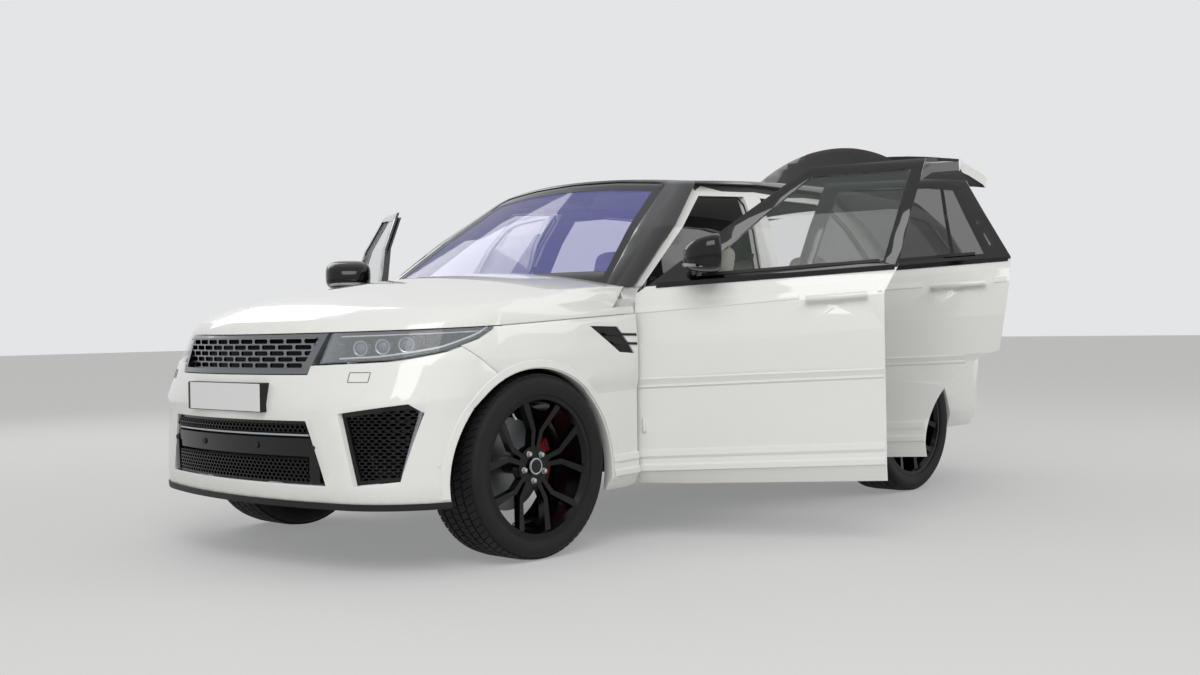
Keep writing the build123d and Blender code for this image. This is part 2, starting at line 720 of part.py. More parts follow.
def make_body_shell():
    """The floor, sills, pillars, wheel boxes and bulkheads as one frame."""
    rear_x = -3860
    room = box(rear_x, -480, -1200, 1200, SILL_BOTTOM, 1400)
    tub = lower_form(WALL_OUTER) & below_line(belt_line(), -6) & room
    cavity = lower_form(WALL_INNER) & box(-4200, -560, -1200, 1200, FLOOR_TOP, 1800)
    under = box(-4200, 0, -SILL_INNER_Y, SILL_INNER_Y, 0, FLOOR_Z)
    step = box(BONNET_REAR_X, 0, -1200, 1200, BULKHEAD_TOP, 1500)
    ends = above_line(belt_line()) & (box(-662, 0, -1300, 1300, 900, 1500) + box(-4300, -3765, -1300, 1300, 900, 1500))
    top = upper_form(PILLAR_OUTER) & roof_crown(28) & above_line(belt_line())
    top = top - [upper_form(PILLAR_INNER) & roof_crown(60), box(-600, 0, -1200, 1200, 0, 2000)]
    holes = [side_prism(points, 300, 1200) for points in (FRONT_APERTURE, REAR_APERTURE, QUARTER_WINDOW)]
    holes.append(rear_arch(ARCH_RADIUS + LINER, REAR_WELL_Y, 1300))
    holes.append(front_arch(ARCH_RADIUS + LINER + 4, 440, 1300))
    cutters = [screen_prism(), tailgate_region(REAR_SHUT_GAP + 6)]
    for hole in holes:
        cutters = cutters + [hole, mirrored(hole)]
    straps = door_hinges(FRONT_DOOR_X, FRONT_HINGE_HEIGHTS, True) + door_hinges(REAR_DOOR_X, REAR_HINGE_HEIGHTS, True)
    shell = (tub - ([cavity, under, step, ends] + cutters)) + (top - cutters)
    pads = Part()
    for x in JACK_PAD_X:
        pads = pads + box(x - 40, x + 40, JACK_PAD_Y - 30, JACK_PAD_Y + 30, JACK_PAD_Z, SILL_BOTTOM + 4)
    fixtures = straps + pads
    return largest(shell + fixtures + mirrored(fixtures) + tailgate_arms())


def make_front_frame():
    """The rails, towers and cross beam ahead of the bulkhead."""
    grille_seat = GRILLE_OUTER[0][1] - SEAT_GAP
    lamp_seat = 836.4 + TRIM_GAP - SEAT_GAP
    rail = box(-480, 700, 380, 450, 470, 570)
    tower = box(-480, 560, 424, 462, 570, 980)
    strip = side_prism([(-540, 1004), (-540, 1100), (180, 1100), (180, 962)], 300, 1200)
    strip = strip & below_line(BONNET_LINE, SEAT_GAP)
    apron = (lower_form(SKIN) & strip) - lower_form(WALL_OUTER)
    bridge = box(-300, -200, 440, 960, 955, 980) & lower_form(WALL_OUTER - 4)
    feet = box(-200, -120, 380, 450, SUBFRAME_TOP, 470) + box(120, 200, 380, 450, SUBFRAME_TOP, 470)
    half = rail + tower + apron + bridge + feet
    beam = (lower_form(BUMPER_SKIN + 50) & box(500, 1000, -640, 640, 470, 560)) - lower_form(BUMPER_SKIN + 120)
    carrier = (lower_form(BUMPER_SKIN) & box(560, 1000, -600, 600, 640, grille_seat)) - lower_form(BUMPER_SKIN + 60)
    post = box(640, 760, 330, 370, 560, 780) + box(640, 690, 560, 600, 700, lamp_seat)
    return half + mirrored(half) + beam + carrier + post + mirrored(post)


def make_liner(front):
    """The inner skin of a wheel arch."""
    arch = front_arch if front else rear_arch
    inner_y = 462 if front else REAR_WELL_Y
    ring = arch(ARCH_RADIUS + LINER, inner_y, 1200) - arch(ARCH_RADIUS, inner_y + LINER, 1300)
    ring = ring & lower_form(WALL_OUTER + 2) & box(-4000, 1000, 300, 920, 330, 1000)
    return largest(ring)


SUBFRAME_TOP = 420


def make_engine():
    """The engine and gearbox as one plain mass at its real place."""
    engine = box(-330, 330, -300, 300, SUBFRAME_TOP, 900)
    gearbox = box(-1050, -330, -150, 150, 330, FLOOR_Z - 5)
    housing = box(-470, -330, -190, 190, 330, 640)
    return engine + housing + gearbox


def make_exhaust():
    """The silencer under the boot floor, with its four tail pipes."""
    return box(-3740, -3480, -600, 600, 272, FLOOR_Z) + tail_pipes(TAIL_PIPE_RADIUS, -3700)


def make_axles():
    """Subframes, arms and drive shafts that carry the four wheels."""
    front = box(-230, 230, -450, 450, 300, SUBFRAME_TOP)
    pad = box(-20, 20, 596, 648, 236, KNUCKLE_FOOT_Z - SEAT_GAP)
    arms = wishbone(0, 400, 616, KNUCKLE_FOOT_Z - 21) + pad
    rear = box(-WHEELBASE - 230, -WHEELBASE + 230, -450, 450, 300, FLOOR_Z)
    rear_arms = wishbone(-WHEELBASE, 400, 664, KNUCKLE_FOOT_Z)
    upright = Pos(-WHEELBASE, 0, 0) * (make_knuckle(0) + make_caliper(0))
    rear_half = rear_arms + upright
    return Compound(children=[front + arms + mirrored(arms), rear + rear_half + mirrored(rear_half)])


def wishbone(x, y_from, y_to, z_to):
    """The two arms that run out to one wheel."""
    front = rod((x + 130, y_from, 330), (x + 6, y_to, z_to), 20)
    return front + rod((x - 150, y_from, 330), (x - 6, y_to, z_to), 20)


KNUCKLE_FOOT_Z = 262
CALIPER_OUTER = DISC_RADIUS + 22
CALIPER_INNER = CALIPER_OUTER - 88


def make_knuckle(x):
    """The upright that carries a wheel's bearing, with its arms' ends."""
    z = TYRE_RADIUS
    carrier = lying_cylinder(x, z, 62, 664, 738)
    post = rod((x, 664, KNUCKLE_FOOT_Z + 4), (x, 676, 560), 24)
    foot = rod((x, 664, KNUCKLE_FOOT_Z), (x, 664, KNUCKLE_FOOT_Z + 14), 30)
    bracket = box(x - 200, x, 702, 734, z - 34, z + 34) & lying_cylinder(x, z, CALIPER_INNER, 700, 740)
    return carrier + post + foot + bracket


def make_caliper(x):
    """A brake caliper that straddles the disc behind the hub."""
    z = TYRE_RADIUS
    ring = lying_cylinder(x, z, CALIPER_OUTER, 700, 810) - lying_cylinder(x, z, CALIPER_INNER, 690, 820)
    wedge = side_prism([(x - 60, z), (x - 240, z + 130), (x - 240, z - 130)], 600, 900)
    slot = lying_cylinder(x, z, DISC_RADIUS + 5, 738, 778)
    return (ring & wedge) - slot


def make_rim(x, spin):
    """A wheel with five pairs of bent spokes, its hub and its disc."""
    z = TYRE_RADIUS
    face = RIM_WIDTH / 2
    face_y = WHEEL_CENTRE_Y + face
    lip = RIM_RADIUS + RIM_LIP
    barrel = turned([
        (lip, -face), (RIM_RADIUS, -face + 16), (RIM_RADIUS, face - 16), (lip, face),
        (RIM_RADIUS - 3, face), (RIM_RADIUS - 15, face - 22), (RIM_RADIUS - 28, 0), (RIM_RADIUS - 3, -face),
    ], x)
    hub = lying_cylinder(x, z, 84, face_y - 82, face_y - 40) + lying_cylinder(x, z, 34, face_y - 40, face_y - 27)
    stub = lying_cylinder(x, z, 40, 738 + SEAT_GAP, face_y - 74)
    wheel = barrel + hub + stub + lying_cylinder(x, z, DISC_RADIUS, 742, 774)
    pair = Pos(x, WHEEL_CENTRE_Y, z) * (spoke(1) + spoke(-1))
    blades = [pair.rotate(Axis((x, 0, z), (0, 1, 0)), -spin - index * 72) for index in range(5)]
    return wheel + blades


SPOKE_EDGES = [
    # columns: radius, angle of the edge nearer the pair's middle, angle of the other edge
    (62, 4, 20),
    (150, 4.2, 12.8),
    (RIM_RADIUS - 2, 17.2, 23.6),
]
SPOKE_DEPTH = [
    # columns: distance from the axle, front and back offset behind the wheel's face
    (40, 43, 84),
    (150, 30, 66),
    (RIM_RADIUS + 4, 5, 34),
]


def spoke(side):
    """One bent spoke that points along X, narrow at the hub and wide at the rim."""
    inner = [(r * cos(radians(a)), side * r * sin(radians(a))) for r, a, _ in SPOKE_EDGES]
    outer = [(r * cos(radians(a)), side * r * sin(radians(a))) for r, _, a in SPOKE_EDGES]
    face = RIM_WIDTH / 2
    blade = side_prism(inner + outer[::-1], 0, face)
    front = [(x, face - depth) for x, depth, _ in SPOKE_DEPTH]
    back = [(x, face - depth) for x, _, depth in SPOKE_DEPTH]
    with BuildSketch(Plane(origin=(0, 0, -160), x_dir=(1, 0, 0), z_dir=(0, 0, 1))) as sketch:
        with BuildLine():
            Polyline(front + back[::-1], close=True)
        make_face()
    return blade & extrude(sketch.sketch, 320)


def turned(profile, x):
    """A ring turned about a wheel's axis from points of radius and offset."""
    plane = Plane(origin=(x, WHEEL_CENTRE_Y, TYRE_RADIUS), x_dir=(1, 0, 0), z_dir=(0, 0, 1))
    with BuildSketch(plane) as sketch:
        with BuildLine():
            Polyline(profile, close=True)
        make_face()
    return revolve(sketch.sketch, Axis((x, WHEEL_CENTRE_Y, TYRE_RADIUS), (0, 1, 0)), 360)


def make_tyre(x):
    """A low tyre with bevelled shoulders, seated on the rim."""
    half, seat = TYRE_WIDTH / 2, RIM_WIDTH / 2 - 16 - SEAT_GAP
    bead = RIM_RADIUS + SEAT_GAP
    return turned([
        (bead, -seat), (TYRE_RADIUS - 32, -half), (TYRE_RADIUS, -half + 34),
        (TYRE_RADIUS, half - 34), (TYRE_RADIUS - 32, half), (bead, seat),
    ], x)


def make_seat(x, y):
    """A front seat: cushion, back and headrest."""
    cushion = Pos(x, y, 610) * Box(520, 500, 150)
    back = Pos(x - 330, y, 880) * Rot(0, -18, 0) * Box(130, 500, 620)
    head = Pos(x - 455, y, 1300) * Rot(0, -14, 0) * Box(100, 270, 180)
    base = box(x - 210, x + 210, y - 200, y + 200, FLOOR_TOP, 545)
    return cushion + back + head + base + head_posts(x - 425, y, 1150, x - 455, 1250)


def head_posts(x, y, z, x_top, z_top):
    """The two posts of one headrest."""
    return rod((x, y - 60, z), (x_top, y - 60, z_top), 7) + rod((x, y + 60, z), (x_top, y + 60, z_top), 7)


def make_rear_seat():
    """The rear bench with three headrests."""
    cushion = Pos(-2230, 0, 640) * Box(500, 1300, 160)
    back = Pos(-2560, 0, 900) * Rot(0, -20, 0) * Box(140, 1200, 620)
    base = box(-2440, -2020, -600, 600, FLOOR_TOP, 570)
    heads = Part()
    for y in (-420, 0, 420):
        heads = heads + Pos(-2710, y, 1270) * Rot(0, -14, 0) * Box(90, 250, 150)
        heads = heads + head_posts(-2668, y, 1160, -2700, 1230)
    return cushion + back + base + heads


def make_dashboard():
    """The dashboard and the console between the front seats."""
    outline = [(-570, 1120), (-760, 1150), (-1010, 1080), (-1040, 960), (-900, 760), (-570, 700)]
    dash = side_prism(outline, -800, 800)
    low = dash & box(-1200, 0, -900, 900, 0, 1080)
    high = dash & box(-1200, 0, -900, 900, 1080, 1300) & upper_form(PILLAR_INNER + 5)
    console = side_prism([(-900, FLOOR_TOP), (-900, 900), (-1080, 860), (-1200, 740),
                          (-1760, 730), (-1760, FLOOR_TOP)], -105, 105)
    return low + high + console


def make_steering_wheel():
    """The steering wheel and its column, on the car's right."""
    plane = Plane(origin=(-1150, -370, 1010), z_dir=(-0.92, 0, 0.39))
    ring = revolve(plane * (Pos(182, 0) * RegularPolygon(16, 6)).rotate(Axis.X, 90),
                   Axis(plane.origin, plane.z_dir), 360)
    hub = extrude(plane * Circle(68), 30, both=True)
    bars = extrude(plane * (Rectangle(350, 34) + Pos(0, -90) * Rectangle(44, 180)), 8, both=True)
    column = rod((-1150, -370, 1010), (-1050, -370, 967.6), 32)
    return ring + hub + bars + column


TAILGATE_HINGE_Y = 440
TAILGATE_PIN = 6
SPOILER_END = -3862
SPOILER_RADIUS = 970


def tailgate_arms():
    """The two fixed goosenecks that hold the tailgate's pins from below."""
    x, z = TAILGATE_HINGE_X, TAILGATE_HINGE_Z
    parts = Part()
    for y in (-TAILGATE_HINGE_Y, TAILGATE_HINGE_Y):
        parts = parts + box(x - 18, x - 1, y - 10, y + 10, z - 50, z - TAILGATE_PIN - SEAT_GAP)
        parts = parts + box(x - 18, TAILGATE_FRONT_X + 40, y - 10, y + 10, z - 50, z - 36)
    return parts


def make_tailgate():
    """The tailgate with its lower panel, window frame and roof spoiler."""
    region = tailgate_region(0)
    lower = (lower_form(0) & region & below_line(belt_line()) & box(-4400, -3560, -1200, 1200, 806, 1500))
    lower = lower - lower_form(58)
    frame = (upper_form(0) & region & above_line(belt_line(), -40) & roof_crown(0)) - (
        upper_form(PILLAR_OUTER) & roof_crown(30))
    frame = frame & box(-4400, TAILGATE_FRONT_X, -1200, 1200, 900, 2000)
    window = front_prism(symmetric(TAILGATE_WINDOW), -4400, -3500)
    spoiler = side_prism([(-3600, 1780), (-3880, 1780), (-3880, 1676), (-3700, 1646), (-3600, 1690)], -590, 590)
    edge = Pos(SPOILER_END + SPOILER_RADIUS, 0, 1700) * Cylinder(SPOILER_RADIUS, 600)
    spoiler = (spoiler & roof_crown(0) & edge) - upper_form(20)
    x, z = TAILGATE_HINGE_X, TAILGATE_HINGE_Z
    notches, pins = [], Part()
    for y in (-TAILGATE_HINGE_Y, TAILGATE_HINGE_Y):
        notches.append(box(x - 26, TAILGATE_FRONT_X + 10, y - 16, y + 16, 1600, z + 3))
        pins = pins + lying_cylinder(x, z, TAILGATE_PIN, y - 18, y + 18)
    return largest((lower + (frame - window) + spoiler) - notches + pins)


TAILGATE_WINDOW = [(606, 1318), (520, 1620), (0, 1636)]


def make_tailgate_glass():
    window = front_prism(symmetric(TAILGATE_WINDOW), -4400, -3560)
    return largest((upper_form(4) & window) - upper_form(10))


VENT = [(-309, 966), (-477, 961), (-576, 842), (-480, 850)]


def make_side_vent():
    """The dark outlet behind the front wheel, with two fins that run back to the door."""
    plate = (lower_form(8) & side_prism(grow(VENT, -4), 900, 1200)) - lower_form(26)
    flange = (lower_form(SKIN) & side_prism(grow(VENT, 10), 900, 1200)) - lower_form(26)
    fins = side_prism([(-385, 936), (-590, 930), (-590, 919), (-400, 925)], 900, 1200)
    fins = fins + side_prism([(-430, 896), (-590, 890), (-590, 879), (-445, 885)], 900, 1200)
    behind = [VENT[1], VENT[2], (-660, VENT[2][1]), (-660, VENT[1][1])]
    flush = lower_form(0) & side_prism(grow(behind, 4), 900, 1200)
    return plate + flange + ((fins & lower_form(-3)) - [lower_form(10), flush])


def turn(shape, x, y, angle):
    """A piece turned about an upright axis."""
    return shape.rotate(Axis((x, y, 0), (0, 0, 1)), angle)


def swing(shape, x, z, angle):
    """A piece turned about an axis across the car."""
    return shape.rotate(Axis((x, 0, z), (0, 1, 0)), angle)


def save(name, shape):
    """Write one piece in the object's own frame."""
    export_step(Pos(FRONT_AXLE_X, 0, 0) * shape, "parts/" + name + ".step")


def main():
    os.makedirs("parts", exist_ok=True)
    save("body_shell", make_body_shell() + make_front_frame())
    save("roof", make_roof())
    quarter_window = make_quarter_window()
    save("fixed_glass", Compound(children=[make_windscreen(), quarter_window, mirrored(quarter_window)]))
    save("quarter_panels", both(make_quarter_panel()))
    save("tail_lamps", both(make_tail_lamp()))
    save("rear_bumper", make_rear_bumper())
    save("front_wings", both(make_wing()))
    save("side_vents", both(make_side_vent()))
    front_liner = make_liner(True)
    rear_liner = make_liner(False)
    save("arch_liners", Compound(children=[front_liner, mirrored(front_liner), rear_liner, mirrored(rear_liner)]))
    save("front_bumper", make_front_bumper())
    save("lower_trims", Compound(children=[make_splitter(), make_diffuser()]))
    save("headlamps", both(make_headlamp()))
    save("grille", make_grille())
    save("lower_grilles", make_lower_grilles())
    save("scuttle", make_scuttle())
    save("engine", make_engine())
    save("exhaust", make_exhaust())
    save("axles", make_axles())
    seat = make_seat(-1450, 370)
    save("seats", Compound(children=[seat, mirrored(seat), make_rear_seat()]))
    save("dashboard", make_dashboard())
    save("bonnet", make_bonnet())
    save("steering_wheel", make_steering_wheel())
    hinge_y = BODY_HALF_WIDTH - SKIN
    panel, glass, wing_mirror = make_front_door(), window_glass(FRONT_WINDOW), make_mirror()
    rear_panel, rear_glass = make_rear_door(), window_glass(REAR_WINDOW)
    front_x, rear_x = FRONT_DOOR_X - HINGE_BACK, REAR_DOOR_X - HINGE_BACK
    door_pieces = [
        # columns: node, piece as closed on the left, hinge x, angle it stands open
        ("front_door", panel, front_x, FRONT_DOOR_OPEN),
        ("front_glass", glass, front_x, FRONT_DOOR_OPEN),
        ("mirror", wing_mirror, front_x, FRONT_DOOR_OPEN),
        ("rear_door", rear_panel, rear_x, REAR_DOOR_OPEN),
        ("rear_glass", rear_glass, rear_x, REAR_DOOR_OPEN),
    ]
    for name, piece, hinge_x, angle in door_pieces:
        piece = turn(piece, hinge_x, hinge_y, -angle)
        save(name + "_left", piece)
        save(name + "_right", mirrored(piece))
    save("tailgate", swing(make_tailgate(), TAILGATE_HINGE_X, TAILGATE_HINGE_Z, TAILGATE_OPEN))
    save("tailgate_glass", swing(make_tailgate_glass(), TAILGATE_HINGE_X, TAILGATE_HINGE_Z, TAILGATE_OPEN))
    rim = make_rim(0, SPOKE_PAIR_ANGLE)
    tyre = make_tyre(0)
    knuckle = make_knuckle(0)
    caliper = make_caliper(0)
    for side, flip, steer in (("left", lambda s: s, STEER_AT_REST), ("right", mirrored, STEER_AT_REST)):
        y = WHEEL_CENTRE_Y if side == "left" else -WHEEL_CENTRE_Y
        for name, shape in (("rim", rim), ("tyre", tyre), ("knuckle", knuckle), ("caliper", caliper)):
            piece = flip(shape)
            save(name + "_front_" + side, turn(piece, 0, y, steer))
            if name in ("rim", "tyre"):
                save(name + "_rear_" + side, Pos(-WHEELBASE, 0, 0) * piece)


main()
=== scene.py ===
import json
import math

import bmesh
import bpy
from bpy.props import FloatProperty, FloatVectorProperty, IntProperty, PointerProperty
from mathutils import Matrix, Vector
from mathutils.bvhtree import BVHTree

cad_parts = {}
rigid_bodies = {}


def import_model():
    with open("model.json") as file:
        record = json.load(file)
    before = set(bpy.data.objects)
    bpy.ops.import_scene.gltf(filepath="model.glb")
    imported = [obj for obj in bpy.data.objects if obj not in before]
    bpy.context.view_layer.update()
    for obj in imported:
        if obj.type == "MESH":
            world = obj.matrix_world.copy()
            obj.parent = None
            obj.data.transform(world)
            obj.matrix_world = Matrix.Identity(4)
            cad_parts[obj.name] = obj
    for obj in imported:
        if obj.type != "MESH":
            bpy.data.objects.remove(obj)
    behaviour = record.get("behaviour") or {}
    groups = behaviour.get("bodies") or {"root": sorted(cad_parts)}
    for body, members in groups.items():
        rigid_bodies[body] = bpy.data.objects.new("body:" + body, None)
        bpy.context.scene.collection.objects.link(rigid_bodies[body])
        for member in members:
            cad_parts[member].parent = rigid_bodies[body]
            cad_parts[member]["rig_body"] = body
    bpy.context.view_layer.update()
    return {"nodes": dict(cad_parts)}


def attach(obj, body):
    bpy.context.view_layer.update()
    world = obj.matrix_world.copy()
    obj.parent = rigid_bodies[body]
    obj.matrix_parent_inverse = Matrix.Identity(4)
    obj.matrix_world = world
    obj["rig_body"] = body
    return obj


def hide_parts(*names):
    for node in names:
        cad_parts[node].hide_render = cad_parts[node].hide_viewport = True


bl_info = {
    "name": "Sport utility vehicle finishes",
    "version": (1, 0, 0),
    "blender": (4, 5, 0),
    "location": "View3D > Sidebar > Vehicle",
    "description": "Paint, glass, trim and fine pieces for a packed five-door vehicle",
    "category": "Object",
}

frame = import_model()
NODES = frame["nodes"]

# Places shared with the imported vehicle, in metres in the row frame
AXLE_X = 1.806
WHEELBASE = 2.923
HUB_Z = 0.388
WHEEL_Y = 0.845
DOORS = {
    "front": (AXLE_X - 0.6425, math.radians(62.0)),
    "rear": (AXLE_X - 1.7475, math.radians(69.0)),
}
DOOR_HINGE_Y = 0.9795
TAILGATE_HINGE = (AXLE_X - 3.478, 1.722)
TAILGATE_ANGLE = math.radians(73.0)
SIDES = ("left", "right")
# Width of the rounding on the edges of pressed and moulded panels
EDGE_ROUND = 0.0022


def belt(x):
    """Height of the line at the foot of the side windows."""
    return 1.104 - 0.052 * x


# Colour and node helpers

def linear(code):
    """An sRGB hex code as a linear colour."""
    values = [int(code[i:i + 2], 16) / 255 for i in (1, 3, 5)]
    return [v / 12.92 if v <= 0.04045 else ((v + 0.055) / 1.055) ** 2.4 for v in values] + [1.0]


def chosen(name):
    """A colour from the panel's settings, as a linear colour."""
    return list(getattr(bpy.context.scene.suv_colours, name)) + [1.0]


def add_node(tree, kind, links=(), **settings):
    """Adds a node, sets its sockets and fields, and links other nodes' outputs to it."""
    node = tree.nodes.new(kind)
    for key, value in settings.items():
        if key.startswith("in_"):
            name = key[3:].replace("_", " ")
            socket = node.inputs[int(name)] if name.isdigit() else node.inputs[name]
            socket.default_value = value
        else:
            setattr(node, key, value)
    for source, output, target in links:
        tree.links.new(source.outputs[output], node.inputs[target])
    return node


def start_material(name):
    """A new material with an empty node tree and its output."""
    material = bpy.data.materials.new(name)
    material.use_nodes = True
    tree = material.node_tree
    tree.nodes.clear()
    output = tree.nodes.new("ShaderNodeOutputMaterial")
    return material, tree, output


def finish_material(tree, output, shader):
    """Joins the last shader to the material's output."""
    tree.links.new(shader.outputs[0], output.inputs["Surface"])


def grained(name, colour, roughness, grain_mm, depth_mm, metallic=0.0, coat=0.0, coat_roughness=0.05,
            variation=0.06, ior=1.5, kind="noise", sheen=0.0):
    """A surface with a fine relief of a real grain size and a slight change of tone."""
    material, tree, output = start_material(name)
    place = add_node(tree, "ShaderNodeTexCoord")
    scale = 1000.0 / grain_mm
    if kind == "voronoi":
        relief = add_node(tree, "ShaderNodeTexVoronoi", [(place, "Object", "Vector")], in_Scale=scale)
        height = "Distance"
    else:
        relief = add_node(tree, "ShaderNodeTexNoise", [(place, "Object", "Vector")],
                          in_Scale=scale, in_Detail=3.0)
        height = "Fac"
    bump = add_node(tree, "ShaderNodeBump", [(relief, height, "Height")], in_Strength=1.0,
                    in_Distance=depth_mm / 1000.0)
    clouds = add_node(tree, "ShaderNodeTexNoise", [(place, "Object", "Vector")], in_Scale=7.0, in_Detail=2.0)
    base = linear(colour) if isinstance(colour, str) else colour
    dark = [c * (1 - variation) for c in base[:3]] + [1.0]
    light = [min(1.0, c * (1 + variation)) for c in base[:3]] + [1.0]
    tone = add_node(tree, "ShaderNodeMix", [(clouds, "Fac", 0)], data_type="RGBA")
    tone.inputs[6].default_value = dark
    tone.inputs[7].default_value = light
    rough = add_node(tree, "ShaderNodeMapRange", [(clouds, "Fac", "Value")])
    rough.inputs["To Min"].default_value = max(0.02, roughness * 0.85)
    rough.inputs["To Max"].default_value = min(1.0, roughness * 1.15)
    shader = add_node(tree, "ShaderNodeBsdfPrincipled",
                      [(bump, "Normal", "Normal"), (tone, 2, "Base Color"), (rough, "Result", "Roughness")],
                      in_Metallic=metallic, in_IOR=ior)
    shader.inputs["Coat Weight"].default_value = coat
    shader.inputs["Coat Roughness"].default_value = coat_roughness
    shader.inputs["Sheen Weight"].default_value = sheen
    shader.inputs["Specular IOR Level"].default_value = 0.1 if coat > 0.8 else 0.4
    finish_material(tree, output, shader)
    return material


def clear_sheet(name, colour, roughness, see_through):
    """Thin glass or clear plastic: partly see-through with a glossy skin, so that it exports as it looks."""
    material, tree, output = start_material(name)
    shader = add_node(tree, "ShaderNodeBsdfPrincipled", in_Roughness=roughness, in_IOR=1.52)
    shader.inputs["Base Color"].default_value = linear(colour)
    shader.inputs["Alpha"].default_value = 1.0 - see_through
    shader.inputs["Coat Weight"].default_value = 0.6
    shader.inputs["Coat Roughness"].default_value = 0.02
    finish_material(tree, output, shader)
    material.surface_render_method = "BLENDED"
    return material


# Finishes that are already made, by their workshop name
_made = {}


def material(name):
    """A finish by its workshop name, made on first use."""
    if name not in _made:
        _made[name] = FINISHES[name]()
    return _made[name]


def shown_rays(tree):
    """One for rays that show a surface: straight ones and those by way of gloss or glass."""
    path = add_node(tree, "ShaderNodeLightPath")
    seen = add_node(tree, "ShaderNodeMath", [(path, "Is Camera Ray", 0), (path, "Is Glossy Ray", 1)],
                    operation="MAXIMUM")
    return add_node(tree, "ShaderNodeMath", [(seen, 0, 0), (path, "Is Transmission Ray", 1)],
                    operation="MAXIMUM")


def floor_paint():
    # Pale matt studio floor. Seen directly, about a third of its tone is its own light, so that it
    # stays pale far away.
    material, tree, output = start_material("Studio_floor")
    paint = add_node(tree, "ShaderNodeBsdfPrincipled", in_Roughness=0.9)
    paint.inputs["Base Color"].default_value = linear("#D9D9D8")
    paint.inputs["Specular IOR Level"].default_value = 0.1
    glow = add_node(tree, "ShaderNodeEmission", in_Color=linear("#E4E5E6"), in_Strength=0.9)
    seen = shown_rays(tree)
    share = add_node(tree, "ShaderNodeMath", [(seen, 0, 0)], operation="MULTIPLY", in_1=0.35)
    mix = add_node(tree, "ShaderNodeMixShader", [(share, 0, 0), (paint, 0, 1), (glow, 0, 2)])
    finish_material(tree, output, mix)
    return material


